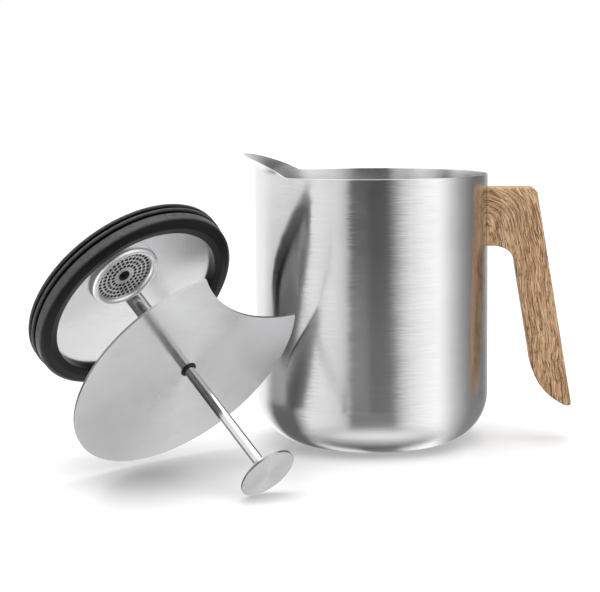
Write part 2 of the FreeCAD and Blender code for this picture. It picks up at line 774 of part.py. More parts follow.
def build_strainer_plug():
    """Domed head above the disc, foot below the mesh."""
    foot_low = MESH_LOW + " - dims.plug_foot_height"
    dome_radius = "(dims.plug_head_radius ^ 2 + dims.plug_head_height ^ 2) / 2 / dims.plug_head_height"
    body = turned_body("strainer_plug", [
        ("0", foot_low),
        ("dims.plug_foot_radius", foot_low),
        ("dims.plug_foot_radius", MESH_LOW),
        ("dims.plug_stem_radius", MESH_LOW),
        ("dims.plug_stem_radius", DISC_HIGH),
        ("dims.plug_head_radius", DISC_HIGH),
        ("0", DISC_HIGH + " + dims.plug_head_height", dome_radius, 1),
    ])
    keep_on_plunger("strainer_plug", body, strainer_placement())


def build_strainer_retainer():
    sleeve = "dims.strainer_disc_radius - dims.fixed_clearance"
    sleeve_bore = sleeve + " - dims.sleeve_thickness"
    flange_low = CLAMP_UNDER + " - dims.sleeve_flange_thickness"
    body = turned_body("strainer_retainer", [
        (sleeve_bore, flange_low),
        ("dims.sleeve_flange_radius", flange_low),
        ("dims.sleeve_flange_radius", CLAMP_UNDER),
        (sleeve, CLAMP_UNDER),
        (sleeve, MESH_LOW),
        (sleeve_bore, MESH_LOW),
    ])
    keep_on_plunger("strainer_retainer", body, strainer_placement())


# ---------------------------------------------------------------- lid, on the rod

BUSH_OUTSIDE = "dims.rod_radius + dims.running_clearance + dims.bush_wall"


def build_lid():
    body = new_body("lid_plate")
    disc = new_sketch(body, "disc", "XY_Plane", "-dims.lid_thickness")
    draw_circle(disc, "0", "0", "dims.lid_radius")
    draw_circle(disc, "0", "0", BUSH_OUTSIDE + " + dims.running_clearance")
    pad(body, disc, "dims.lid_thickness")
    bite = new_sketch(body, "bite", "XY_Plane", "-dims.lid_thickness")
    reach = "(dims.lid_radius - dims.bite_depth + dims.bite_radius)"
    draw_circle(bite, reach + " * cos(dims.bite_heading)", reach + " * sin(dims.bite_heading)",
                "dims.bite_radius")
    pocket(body, bite, "dims.lid_thickness", away=True, name="bite_cut")
    keep_on_plunger("lid_plate", body)


def build_bush():
    bore = "dims.rod_radius + dims.running_clearance"
    lip_low = "dims.bush_float"
    lip_high = "dims.bush_float + dims.bush_lip_height"
    body = turned_body("lid_bush", [
        (bore, "-dims.bush_length"),
        (BUSH_OUTSIDE, "-dims.bush_length"),
        (BUSH_OUTSIDE, lip_low),
        ("dims.bush_lip_radius", lip_low),
        ("dims.bush_lip_radius", lip_high),
        (bore, lip_high),
    ])
    keep_on_plunger("lid_bush", body)
    high = "-dims.lid_thickness - dims.bush_float"
    body = washer_shape("bush_retainer", BUSH_OUTSIDE, "dims.retainer_radius",
                        high + " - dims.retainer_thickness", high)
    keep_on_plunger("bush_retainer", body)


# ---------------------------------------------------------------- build, check, write

build_outer_shell()
build_inner_shell()
build_base_cap()
build_handle()
build_handle_bracket()
build_handle_screw()
build_rod()
build_knob()
build_socket()
build_plate("piston_disc", "dims.piston_disc_radius", PISTON_UNDER, "dims.piston_disc_thickness")
build_plate("clamp_plate", "dims.clamp_plate_radius", CLAMP_UNDER, "dims.clamp_plate_thickness")
build_seal()
build_washer()
build_nut()
build_strainer_ring()
build_strainer_disc()
build_strainer_mesh()
build_strainer_plug()
build_strainer_retainer()
build_lid()
build_bush()
document.recompute()

for item in document.Objects:
    if "Invalid" in item.State or "Error" in item.State:
        raise RuntimeError(item.Name + " failed: " + str(item.State))

for label, item in subparts.items():
    if item.Shape.isNull() or not item.Shape.isValid():
        raise RuntimeError(label + " has no valid shape")

os.makedirs("parts", exist_ok=True)
for label, item in subparts.items():
    item.Shape.exportStep(os.path.join("parts", label + ".step"))
    box = item.Shape.BoundBox
    print("%-18s solids %d  volume %9.1f  x %7.1f %7.1f  y %7.1f %7.1f  z %7.1f %7.1f" % (
        label, len(item.Shape.Solids), item.Shape.Volume,
        box.XMin, box.XMax, box.YMin, box.YMax, box.ZMin, box.ZMax))
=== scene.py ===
# %% [markdown]
# # A French press, taken apart on a white table
#
# The object is a double-walled steel jug with an oak handle, and its plunger: a knob, a
# rod, a lid that slides on the rod, and a piston with a silicone seal and a strainer. Sizes
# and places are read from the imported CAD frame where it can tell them, and otherwise
# repeat the CAD model's own numbers. Blender adds the fine shapes, the finishes, the light
# and the camera.

# %% Load the frame
import json
import math

import bpy
from mathutils import Matrix, Vector


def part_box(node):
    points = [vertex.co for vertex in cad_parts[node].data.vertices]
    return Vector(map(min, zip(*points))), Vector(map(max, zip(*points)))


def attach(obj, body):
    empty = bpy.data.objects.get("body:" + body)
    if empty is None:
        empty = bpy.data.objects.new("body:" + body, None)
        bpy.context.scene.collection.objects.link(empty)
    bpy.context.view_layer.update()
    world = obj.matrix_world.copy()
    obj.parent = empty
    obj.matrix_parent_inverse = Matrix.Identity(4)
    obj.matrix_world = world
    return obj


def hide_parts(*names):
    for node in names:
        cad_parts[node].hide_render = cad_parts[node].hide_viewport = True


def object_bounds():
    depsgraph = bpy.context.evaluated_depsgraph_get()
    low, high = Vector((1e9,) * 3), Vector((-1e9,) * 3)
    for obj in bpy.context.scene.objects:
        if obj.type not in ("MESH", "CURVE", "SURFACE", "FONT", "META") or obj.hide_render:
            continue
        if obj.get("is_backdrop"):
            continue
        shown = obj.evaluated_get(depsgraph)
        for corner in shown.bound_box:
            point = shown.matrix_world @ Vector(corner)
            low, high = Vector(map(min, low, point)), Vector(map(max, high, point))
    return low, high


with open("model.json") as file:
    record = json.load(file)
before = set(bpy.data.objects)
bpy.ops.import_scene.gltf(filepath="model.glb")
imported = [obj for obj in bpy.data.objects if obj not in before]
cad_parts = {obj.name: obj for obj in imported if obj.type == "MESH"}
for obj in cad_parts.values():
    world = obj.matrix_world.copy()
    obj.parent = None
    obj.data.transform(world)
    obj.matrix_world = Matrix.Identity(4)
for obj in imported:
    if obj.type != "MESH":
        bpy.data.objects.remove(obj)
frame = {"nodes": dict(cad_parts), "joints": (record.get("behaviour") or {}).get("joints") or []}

cad_low, cad_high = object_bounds()

# %% [markdown]
# ## Selecting before acting
#
# An operator in Blender acts on everything that is selected, and the frame's pieces are
# selected after they are loaded. So each piece starts with nothing selected.

# %% Small helpers for selecting
MM = 0.001


def clear_selection():
    if bpy.context.object is not None and bpy.context.object.mode != "OBJECT":
        bpy.ops.object.mode_set(mode="OBJECT")
    bpy.ops.object.select_all(action="DESELECT")


def only(piece):
    """Makes one piece the selected and active one."""
    clear_selection()
    piece.select_set(True)
    bpy.context.view_layer.objects.active = piece
    return piece


clear_selection()

# %% [markdown]
# ## Two frames to work in
#
# The jug stands upright, but the plunger leans. It is easier to model a round part
# standing on the origin and to lean it afterwards. The record's lid joint gives the rod's
# direction and the lid's centre, so one matrix leans every piece of the plunger.

# %% The plunger's leaning frame
lid_turn = next(joint for joint in frame["joints"] if joint["name"] == "lid_turn")
rod_axis = Vector(lid_turn["axis"]).normalized()
lid_centre = Vector(lid_turn["pos_m"])
lean_heading = math.atan2(rod_axis.y, rod_axis.x)
lean_angle = math.acos(rod_axis.z)
level_axis = Vector((-math.sin(lean_heading), math.cos(lean_heading), 0))
PLUNGER = Matrix.Translation(lid_centre) @ Matrix.Rotation(lean_angle, 4, level_axis)
UPRIGHT = Matrix.Identity(4)


def own_points(node, home=PLUNGER):
    """The points of a CAD node, seen from the part's own frame."""
    back = home.inverted()
    return [back @ vertex.co for vertex in frame["nodes"][node].data.vertices]


def own_middle(node):
    """Middle of one of the plunger's CAD nodes, across the rod."""
    points = own_points(node)
    across = [[p[k] for p in points] for k in (0, 1)]
    return [(min(values) + max(values)) / 2 for values in across]


def own_size(node, home=PLUNGER):
    """(low, high, smallest radius, largest radius) of a round CAD node about its axis."""
    points = own_points(node, home)
    heights = [p.z for p in points]
    radii = [math.hypot(p.x, p.y) for p in points]
    return min(heights), max(heights), min(radii), max(radii)


strainer_middle = own_middle("strainer_ring")
STRAINER = PLUNGER @ Matrix.Translation((*strainer_middle, 0))
print("the rod leans %.1f degrees from upright" % math.degrees(lean_angle))
print("the strainer sits %.1f mm from the rod" % (math.hypot(*strainer_middle) / MM))

# %% [markdown]
# ## Turned parts
#
# Nearly everything here is round, because sheet steel is spun and rods are turned on a
# lathe. A lathe part is an outline carried round an axis, which is Blender's Spin: one
# point is extruded from place to place to draw the outline, and Spin takes it round. The
# first and last copies meet, so the doubles are merged, and the normals are made to
# point outwards. A small bevel on the sharp edges catches light, as on real metal.

# %% Outline, spin and bevel helpers


def rounded(corners, pieces=5):
    """Points of an outline; a corner (x, z, radius) is replaced by an arc."""
    outline = []
    for index, corner in enumerate(corners):
        here = Vector(corner[:2])
        radius = corner[2] if len(corner) > 2 else 0
        if not radius:
            outline.append(tuple(here))
            continue
        before = (Vector(corners[index - 1][:2]) - here).normalized()
        after = (Vector(corners[(index + 1) % len(corners)][:2]) - here).normalized()
        half = before.angle(after) / 2
        setback = radius / math.tan(half)
        centre = here + (before + after).normalized() * (radius / math.sin(half))
        start = here + before * setback - centre
        end = here + after * setback - centre
        turn = start.angle_signed(end)
        for step in range(pieces + 1):
            share = -turn * step / pieces
            spun = Matrix.Rotation(share, 2) @ start
            outline.append(tuple(centre + spun))
    return outline


def tube(low, high, bore, radius, roundings=(0, 0, 0, 0), pieces=4):
    """Outline of a plain ring, its corners rounded by so many millimetres.

    The corners go inner low, outer low, outer high, inner high.
    """
    corners = [(bore, low), (radius, low), (radius, high), (bore, high)]
    return rounded([(*spot, r * MM) for spot, r in zip(corners, roundings)], pieces)


def draw(name, outline, y=0.0):
    """Draws an outline in the XZ plane, by extruding one point from place to place."""
    clear_selection()
    bpy.ops.mesh.primitive_plane_add(size=MM, location=(0, 0, 0))
    piece = bpy.context.object
    piece.name = piece.data.name = name
    bpy.ops.object.mode_set(mode="EDIT")
    bpy.ops.mesh.select_mode(type="VERT")
    bpy.ops.mesh.select_all(action="SELECT")
    bpy.ops.mesh.merge(type="CENTER")
    bpy.ops.transform.translate(value=(outline[0][0], y, outline[0][1]))
    for (x0, z0), (x1, z1) in zip(outline, outline[1:]):
        move = {"value": (x1 - x0, 0, z1 - z0)}
        bpy.ops.mesh.extrude_region_move(TRANSFORM_OT_translate=move)
    bpy.ops.mesh.select_all(action="SELECT")
    return piece


def face_outwards():
    """Turns all faces of the piece in edit mode outwards, and leaves edit mode."""
    bpy.ops.mesh.select_all(action="SELECT")
    bpy.ops.mesh.normals_make_consistent(inside=False)
    bpy.ops.object.mode_set(mode="OBJECT")


def spin(name, outline, steps=96):
    """Draws a closed outline and spins it about Z."""
    piece = draw(name, outline + outline[:1])
    bpy.ops.mesh.spin(steps=steps, angle=2 * math.pi, center=(0, 0, 0), axis=(0, 0, 1))
    bpy.ops.mesh.select_all(action="SELECT")
    bpy.ops.mesh.remove_doubles(threshold=0.002 * MM)
    face_outwards()
    return piece


def apply(piece, kind, **settings):
    """Adds a modifier, sets it and applies it."""
    only(piece)
    modifier = piece.modifiers.new(kind.lower(), kind)
    for key, value in settings.items():
        setattr(modifier, key, value)
    bpy.ops.object.modifier_apply(modifier=modifier.name)
    return piece


def soften(piece, width, segments=2, sharper_than=30):
    """A small bevel on every sharp edge."""
    return apply(piece, "BEVEL", width=width, segments=segments, limit_method="ANGLE",
                 angle_limit=math.radians(sharper_than), harden_normals=False)


def place(piece, home=UPRIGHT):
    """Leans a piece modelled on the origin into place, and keeps the place in its mesh."""
    only(piece)
    piece.matrix_world = home
    bpy.ops.object.transform_apply(location=True, rotation=True, scale=True)
    bpy.ops.object.shade_smooth_by_angle(angle=math.radians(35))
    return apply(piece, "WEIGHTED_NORMAL", keep_sharp=True)


def hand_over(piece, body, finish, material, *nodes):
    """The piece rides on a body, stands for CAD nodes, and gets its finish."""
    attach(piece, body)
    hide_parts(*nodes)
    piece.data.materials.clear()
    piece.data.materials.append(material)
    print("%-18s %6d faces on %s" % (piece.name, len(piece.data.polygons), body))
    return piece


def turn_piece(name, node, outline, body, finish, material, home=PLUNGER, steps=64):
    """Spins a piece, leans it into place and hands it over for one CAD node."""
    return hand_over(place(spin(name, outline, steps), home), body, finish, material, node)

# %% [markdown]
# ## Finishes
#
# Brushed steel gets its look from thousands of fine scratches that all run one way. The
# scratches blur a reflection across themselves and keep it sharp along themselves, so the
# shader is made anisotropic and is told which way the scratches run. On a part that was
# brushed while it turned, they run round its axis.

# %% A short way to wire nodes


class Board:
    """A node tree, with one call to add a node, set it and join its inputs."""

    def __init__(self, tree):
        self.tree = tree

    def add(self, kind, inputs=None, **settings):
        node = self.tree.nodes.new(kind)
        for key, value in settings.items():
            setattr(node, key, value)
        for key, value in (inputs or {}).items():
            if isinstance(value, bpy.types.NodeSocket):
                self.tree.links.new(value, node.inputs[key])
            else:
                node.inputs[key].default_value = value
        return node

    def math(self, operation, first, second=0.0, clamp=False):
        return self.add("ShaderNodeMath", {0: first, 1: second}, operation=operation,
                        use_clamp=clamp).outputs[0]

    def times(self, first, *others):
        """The product of masks or numbers."""
        for other in others:
            first = self.math("MULTIPLY", first, other)
        return first

    def rest(self, mask):
        """What a mask leaves over."""
        return self.math("SUBTRACT", 1.0, mask)

    def vector(self, operation, first, second=(0, 0, 0)):
        node = self.add("ShaderNodeVectorMath", {0: first, 1: second}, operation=operation)
        return node.outputs["Value" if operation in ("LENGTH", "DOT_PRODUCT") else "Vector"]

    def scaled(self, vector, amount):
        return self.add("ShaderNodeVectorMath", {0: vector, "Scale": amount},
                        operation="SCALE").outputs["Vector"]

    def parts(self, vector):
        return self.add("ShaderNodeSeparateXYZ", {0: vector}).outputs

    def together(self, x, y, z=0.0):
        return self.add("ShaderNodeCombineXYZ", {0: x, 1: y, 2: z}).outputs[0]

    def spread(self, value, low, high, to_low=0.0, to_high=1.0):
        """Stretches values from low..high to to_low..to_high."""
        node = self.add("ShaderNodeMapRange", {"Value": value, "From Min": low, "From Max": high,
                                               "To Min": to_low, "To Max": to_high})
        return node.outputs["Result"]

    def mix(self, share, first, second):
        """Number from first to second by a share."""
        return self.add("ShaderNodeMix", {0: share, 2: first, 3: second},
                        data_type="FLOAT").outputs[0]

    def tint(self, mask, dark, light):
        """Colour from dark to light by a mask."""
        dark, light = (colour if isinstance(colour, bpy.types.NodeSocket) else (*colour, 1)
                       for colour in (dark, light))
        return self.add("ShaderNodeMix", {0: mask, 6: dark, 7: light},
                        data_type="RGBA").outputs[2]

    def noise(self, vector, scale, detail, roughness, w=None):
        """Noise in space; w adds a fourth direction, in which it may change much faster."""
        inputs = {"Vector": vector, "Scale": scale, "Detail": detail, "Roughness": roughness}
        if w is not None:
            inputs["W"] = w
        node = self.add("ShaderNodeTexNoise", inputs, noise_dimensions="3D" if w is None else "4D")
        return node.outputs["Fac"]

    def bump(self, height, strength, distance):
        return self.add("ShaderNodeBump", {"Height": height, "Strength": strength,
                                           "Distance": distance}).outputs[0]


def new_group(name, inputs, outputs):
    """An empty node group with named sockets."""
    group = bpy.data.node_groups.new(name, "ShaderNodeTree")
    for label, kind in inputs:
        group.interface.new_socket(label, in_out="INPUT", socket_type=kind)
    for label, kind in outputs:
        group.interface.new_socket(label, in_out="OUTPUT", socket_type=kind)
    board = Board(group)
    return group, board, board.add("NodeGroupInput").outputs, board.add("NodeGroupOutput").inputs


FLOAT, VECTOR = "NodeSocketFloat", "NodeSocketVector"


def new_material(name):
    """An empty material, its board, and where each point lies on the object."""
    material = bpy.data.materials.new(name)
    material.use_nodes = True
    material.node_tree.nodes.clear()
    board = Board(material.node_tree)
    return material, board, board.add("ShaderNodeTexCoord").outputs["Object"]


def own_place(board, places, home):
    """Brings a leaning part's points back to its own upright axis."""
    return board.add("ShaderNodeMapping", {"Vector": places, "Location": home.translation,
                                           "Rotation": home.to_euler("XYZ")},
                     vector_type="TEXTURE").outputs[0]


def finish_material(material, board, colour, surface):
    """One Principled shader with these inputs; the colour is for a plain viewport."""
    shader = board.add("ShaderNodeBsdfPrincipled", surface)
    output = board.add("ShaderNodeOutputMaterial")
    board.tree.links.new(shader.outputs[0], output.inputs["Surface"])
    material.diffuse_color = (*colour, 1)
    return material

# %% [markdown]
# The scratches are a noise that is stretched a lot: it changes thousands of times a metre
# across them and only slowly along them. The distance across is the radius plus the
# height, so the same group works on a wall, where the height changes, and on a flat disc,
# where the radius does. Every steel uses it, so it is a node group. It gives fine
# scratches, broader bands of them, and smudges that don't follow them.

# %% Group: scratches round an axis
BAND_LINES = 0.12
scratches, board, given, wanted = new_group(
    "scratches_round_axis",
    [("Place", VECTOR), ("Lines per metre", FLOAT), ("Drift per metre", FLOAT)],
    [("Scratches", FLOAT), ("Bands", FLOAT), ("Smudges", FLOAT)])
parts = board.parts(given["Place"])
flat = board.together(parts[0], parts[1])
across = board.math("ADD", board.vector("LENGTH", flat), parts[2])
drift = board.scaled(flat, given["Drift per metre"])
line = board.times(across, given["Lines per metre"])
fine = board.noise(drift, 1.0, 4.0, 0.7, w=line)
broad = board.noise(drift, 0.3, 3.0, 0.6, w=board.times(line, BAND_LINES))
cloud = board.noise(given["Place"], 28.0, 3.0, 0.55)
for source, target, low, high in ((fine, "Scratches", 0.3, 0.7), (broad, "Bands", 0.35, 0.65),
                                  (cloud, "Smudges", 0.35, 0.65)):
    board.tree.links.new(board.spread(source, low, high), wanted[target])
print("node group", scratches.name)

# %% [markdown]
# ## Steel
#
# One function makes every steel, because they differ only in colour, gloss and how
# strongly they were brushed. A Mapping node brings a leaning piece's points back to its
# own axis. The tangent is the cross product of the direction round the axis and the
# surface normal, so it lies across the scratches. The scratches also tip the normal a
# little to their side, which makes a reflection's edge ragged, as on real brushed steel.

# %% Steel materials
BAND_SHARE, SMUDGE_SHARE = 0.2, 0.35
SMUDGE_SWING = 0.2
PAINTED_EDGE_SHADE = 0.38


def steel(name, home, colour, roughness, brushing, lines=5200.0, drift=120.0, relief=0.01,
          contrast=0.08, rough_swing=0.08, waver=0.05, sheet=False):
    """Brushed steel with a relief in mm; on a sheet the sideways edges are painted darker, a
    painted shade that dims their highlight.
    """
    material, board, places = new_material(name)
    own = own_place(board, places, home)
    brushed = board.add("ShaderNodeGroup", {"Place": own, "Lines per metre": lines,
                                            "Drift per metre": drift}, node_tree=scratches)
    fine, broad, cloud = (brushed.outputs[k] for k in ("Scratches", "Bands", "Smudges"))
    lines_seen = board.mix(BAND_SHARE, fine, broad)
    dark = [c * (1 - contrast) for c in colour]
    light = [c * (1 + 0.4 * contrast) for c in colour]
    base = board.tint(board.mix(SMUDGE_SHARE, lines_seen, cloud), dark, light)
    if sheet:
        # Painted shade: on a sheet the faces that don't face along the axis are painted darker,
        # dimming the edge's highlight.
        upwards = tuple(home.to_3x3() @ Vector((0, 0, 1)))
        facing = board.add("ShaderNodeTexCoord").outputs["Normal"]
        facing = board.math("ABSOLUTE", board.vector("DOT_PRODUCT", facing, upwards))
        base = board.tint(board.spread(facing, 0.85, 0.4), base, [c * PAINTED_EDGE_SHADE for c in colour])
    half, mild = rough_swing / 2, rough_swing * SMUDGE_SWING
    rough = board.spread(lines_seen, 0.0, 1.0, roughness + half, roughness - half)
    rough = board.math("ADD", rough, board.spread(cloud, 0.0, 1.0, -mild, mild), clamp=True)
    bump = board.bump(lines_seen, 0.35, relief * MM)
    surface = {"Base Color": base, "Metallic": 1.0, "Roughness": rough, "Normal": bump,
               "Anisotropic": brushing}
    if brushing:
        parts = board.parts(own)
        around = board.together(board.times(parts[1], -1.0), parts[0])
        around = board.add("ShaderNodeMapping", {"Vector": around,
                                                 "Rotation": home.to_euler("XYZ")},
                           vector_type="VECTOR").outputs[0]
        around = board.add("ShaderNodeVectorTransform", {0: around}, vector_type="VECTOR",
                           convert_from="OBJECT", convert_to="WORLD").outputs[0]
        normal = board.add("ShaderNodeNewGeometry").outputs["Normal"]
        surface["Tangent"] = board.vector("CROSS_PRODUCT", around, normal)
        tip = board.times(board.math("SUBTRACT", lines_seen, 0.5), waver)
        aside = board.scaled(board.vector("NORMALIZE", around), tip)
        surface["Normal"] = board.vector("NORMALIZE", board.vector("ADD", bump, aside))
    return finish_material(material, board, colour, surface)


STEEL = (0.63, 0.63, 0.635)
jug_steel = steel("jug_brushed_steel", UPRIGHT, STEEL, 0.18, 0.85, lines=2800.0, drift=90.0,
                  contrast=0.11, waver=0.07)
inner_steel = steel("jug_inside_steel", UPRIGHT, (0.6, 0.6, 0.605), 0.2, 0.85)
base_steel = steel("jug_foot_steel", UPRIGHT, (0.58, 0.58, 0.59), 0.34, 0.6, lines=1800.0)
lid_steel = steel("lid_spun_steel", PLUNGER, (0.54, 0.54, 0.545), 0.22, 0.9, relief=0.006,
                  contrast=0.12, rough_swing=0.12, waver=0.03, sheet=True)
rod_steel = steel("rod_polished_steel", PLUNGER, (0.6, 0.6, 0.605), 0.1, 0.3, relief=0.004,
                  contrast=0.05, rough_swing=0.04, waver=0.02)
disc_steel = steel("piston_mirror_steel", PLUNGER, (0.72, 0.72, 0.725), 0.19, 0.5, relief=0.003,
                   contrast=0.04, rough_swing=0.04, waver=0.02)
plate_steel = steel("clamp_plate_steel", PLUNGER, (0.6, 0.6, 0.605), 0.3, 0.5)
ring_steel = steel("strainer_ring_steel", STRAINER, (0.84, 0.84, 0.845), 0.42, 0.2, relief=0.006)
strainer_steel = steel("strainer_disc_steel", STRAINER, (0.62, 0.62, 0.625), 0.42, 0.2)
fixing_steel = steel("turned_fixings_steel", PLUNGER, (0.55, 0.55, 0.56), 0.28, 0.3)
screw_steel = steel("screw_steel", UPRIGHT, (0.5, 0.5, 0.51), 0.3, 0.0)

# %% [markdown]
# ## Silicone and plastic
#
# Silicone is a dielectric: nearly black, with a broad soft gloss and a very fine grain
# from its mould. Its outer wall, which runs in the jug's bore, is duller and is painted
# greyer, a painted sheen. The bush is a harder, smoother plastic.

# %% Silicone and plastic


def soft_plastic(name, colour, roughness, grain, relief, painted_sheen=None, home=UPRIGHT):
    """A matt black moulding; the painted sheen (radius, colour) paints the part beyond that radius
    greyer and makes it duller.
    """
    material, board, places = new_material(name)
    speckle = board.noise(places, grain, 3.0, 0.6)
    cloud = board.noise(places, 60.0, 3.0, 0.6)
    base = board.tint(board.spread(cloud, 0.35, 0.65), [c * 0.8 for c in colour],
                      [c * 1.25 for c in colour])
    rough = board.math("ADD", board.spread(cloud, 0.3, 0.7, roughness - 0.04, roughness + 0.04),
                       board.spread(speckle, 0.3, 0.7, -0.03, 0.03), clamp=True)
    if painted_sheen:
        # Painted sheen: beyond the radius the wall is painted greyer in patches, and it is made
        # duller.
        radius, sheen_colour = painted_sheen
        parts = board.parts(own_place(board, places, home))
        from_axis = board.vector("LENGTH", board.together(parts[0], parts[1]))
        sheen_band = board.spread(from_axis, radius - 0.6 * MM, radius)
        patchy = board.spread(board.noise(places, 400.0, 4.0, 0.65), 0.3, 0.7, 0.55, 1.0)
        base = board.tint(board.times(sheen_band, patchy), base, sheen_colour)
        rough = board.math("ADD", rough, board.times(sheen_band, 0.12), clamp=True)
    surface = {"Base Color": base, "Roughness": rough, "Specular IOR Level": 0.13,
               "Normal": board.bump(speckle, 0.3, relief * MM)}
    return finish_material(material, board, colour, surface)


# The seal's outer wall gets a painted sheen.
silicone = soft_plastic("seal_silicone", (0.004, 0.004, 0.0043), 0.34, 3000.0, 0.02,
                        painted_sheen=(48.3 * MM, (0.085, 0.085, 0.087)), home=PLUNGER)
bush_plastic = soft_plastic("bush_black_plastic", (0.012, 0.012, 0.012), 0.3, 1500.0, 0.01)

# %% [markdown]
# The strainer's mesh is woven from wire about a tenth of a millimetre thick. At this size
# the weave is a pattern: two sets of waves cross at a right angle. The wires are painted
# nearly black and the gaps between them darker still, a painted shade for the dark seen
# through the strainer's holes.

# %% Woven mesh


def woven_mesh(name, home, colour, pitch):
    """Wires in two directions, a pitch apart."""
    material, board, places = new_material(name)
    parts = board.parts(own_place(board, places, home))
    warp, weft = (board.math("ABSOLUTE", board.math("SINE", board.times(parts[k], math.pi / pitch)))
                  for k in (0, 1))
    wires = board.spread(board.math("MAXIMUM", warp, weft), 0.6, 0.9)
    surface = {"Base Color": board.tint(wires, [c * 0.1 for c in colour], colour),
               "Metallic": 1.0, "Roughness": board.spread(wires, 0.0, 1.0, 0.8, 0.4),
               "Normal": board.bump(wires, 0.5, 0.05 * MM)}
    return finish_material(material, board, colour, surface)


# Painted shade: the mesh is painted nearly black.
mesh_steel = woven_mesh("strainer_woven_mesh", STRAINER, (0.012, 0.012, 0.012), 0.3 * MM)
print("steels and plastics", [m.name for m in bpy.data.materials])

# %% [markdown]
# ## Oak
#
# The handle is cut from one board. Its growth rings show on the sides as nested arches:
# they start round a heart near the wall, bend over at the top of the arm and run down the
# leg. All of its grain comes from one number, the distance from the heart, which is
# stretched along the leg. Fibres, pores and specks are noises that change quickly with
# it. The veins are thin dark lines, drawn where a noise passes through its middle value.

# %% Group: growth rings, fibres and pores
HEART = (54.0 * MM, 101.0 * MM)
RING_WIDTH = 2.1 * MM
LEG_LEAN = 0.162
ALONG_LEG, ACROSS_BOARD, OVER_ARM = 0.16, 0.45, 0.85
grain, board, given, wanted = new_group(
    "oak_grain", [("Place", VECTOR)],
    [("Rings", FLOAT), ("Fibres", FLOAT), ("Pores", FLOAT), ("Patches", FLOAT)])
wobble = board.add("ShaderNodeTexNoise", {"Vector": given["Place"], "Scale": 55.0, "Detail": 3.0})
wobble = board.vector("SUBTRACT", wobble.outputs["Color"], (0.5, 0.5, 0.5))
parts = board.parts(board.vector("ADD", given["Place"], board.scaled(wobble, 4.0 * MM)))
below = board.math("SUBTRACT", HEART[1], parts[2])
down = board.math("MAXIMUM", below, 0.0)
up = board.times(board.math("MINIMUM", below, 0.0), OVER_ARM)
level = board.math("SUBTRACT", board.math("SUBTRACT", parts[0], HEART[0]),
                   board.times(down, LEG_LEAN))
tall = board.math("ADD", board.times(down, ALONG_LEG), up)
from_heart = board.vector("LENGTH", board.together(level, board.times(parts[1], ACROSS_BOARD),
                                                   tall))
slow = board.vector("MULTIPLY", given["Place"], (34.0, 300.0, 34.0))


def grain_noise(scale, detail, roughness, per_metre):
    """A noise that runs along the rings, and changes so often a metre across them."""
    return board.noise(slow, scale, detail, roughness, w=board.times(from_heart, per_metre))


years = board.math("ADD", board.math("DIVIDE", from_heart, RING_WIDTH),
                   board.times(board.noise(slow, 1.1, 2.0, 0.5), 1.6))
rings = board.math("FRACT", years)
early = board.times(board.spread(rings, 0.0, 0.12), board.spread(rings, 0.62, 0.3))
fibres = board.spread(grain_noise(2.6, 3.0, 0.55, 620.0), 0.36, 0.64)
veins = board.math("ABSOLUTE", board.math("SUBTRACT", grain_noise(3.6, 2.0, 0.5, 560.0), 0.5))
veins = board.times(board.spread(veins, 0.05, 0.01), 0.95)
dashes = grain_noise(3.2, 1.0, 0.5, 2000.0)
threshold = board.spread(early, 0.0, 1.0, 0.64, 0.50)
vessels = board.spread(board.math("SUBTRACT", dashes, threshold), 0.0, 0.06)
specks = board.times(board.spread(grain_noise(14.0, 1.0, 0.5, 3400.0), 0.58, 0.68), 0.55)
pores = board.math("MAXIMUM", veins, board.math("MAXIMUM", vessels, specks))
patches = board.spread(board.noise(given["Place"], 42.0, 3.0, 0.55), 0.35, 0.65)
for source, target in ((rings, "Rings"), (fibres, "Fibres"), (pores, "Pores"),
                       (patches, "Patches")):
    board.tree.links.new(source, wanted[target])

# %% Oiled oak
oak, board, places = new_material("oiled_oak")
group = board.add("ShaderNodeGroup", {"Place": places}, node_tree=grain)
ring, fibre, pore, patch = (group.outputs[k] for k in ("Rings", "Fibres", "Pores", "Patches"))
base = board.tint(patch, (0.36, 0.185, 0.082), (0.64, 0.385, 0.20))
for mask, strength, colour in ((fibre, 0.9, (0.98, 0.69, 0.42)), (ring, 0.45, (0.33, 0.175, 0.085)),
                               (pore, 0.95, (0.11, 0.044, 0.016))):
    base = board.tint(board.times(mask, strength), base, colour)
height = board.math("SUBTRACT", board.times(fibre, 0.3), pore)
rough = board.spread(board.math("ADD", board.times(fibre, 0.5), pore), 0.0, 1.5, 0.46, 0.7)
finish_material(oak, board, (0.45, 0.29, 0.17),
                {"Base Color": base, "Roughness": rough, "Specular IOR Level": 0.35,
                 "Normal": board.bump(height, 0.6, 0.12 * MM)})
print("oak has", len(oak.node_tree.nodes), "nodes")

# %% [markdown]
# ## The jug's outer wall and spout
#
# The wall is one spun sheet: a foot with a wide corner, a straight side and a slightly
# thicker band at the rim. It is spun as a closed outline, so that the wall has its real
# thickness. Extra rings near the rim give the spout something to be drawn from.

# %% Spin the outer wall
WALL = {"radius": 55.0 * MM, "height": 126.5 * MM, "corner": 23.5 * MM, "sheet": 0.6 * MM,
        "rim": 1.0 * MM, "taper": 0.42 * MM, "band": 9.0 * MM, "cap": 28.0 * MM, "root": 7.5 * MM}
assert abs(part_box("jug_outer_shell")[1].y - WALL["radius"]) < 0.1 * MM
rim_rings = [WALL["height"] - WALL["root"] * (1 - step / 14) for step in range(15)]


def arc(middle, radius, first, last, count):
    """Points on an arc, with angles in degrees from +X."""
    turns = [math.radians(first + (last - first) * step / count) for step in range(count + 1)]
    return [(middle[0] + radius * math.cos(t), middle[1] + radius * math.sin(t)) for t in turns]


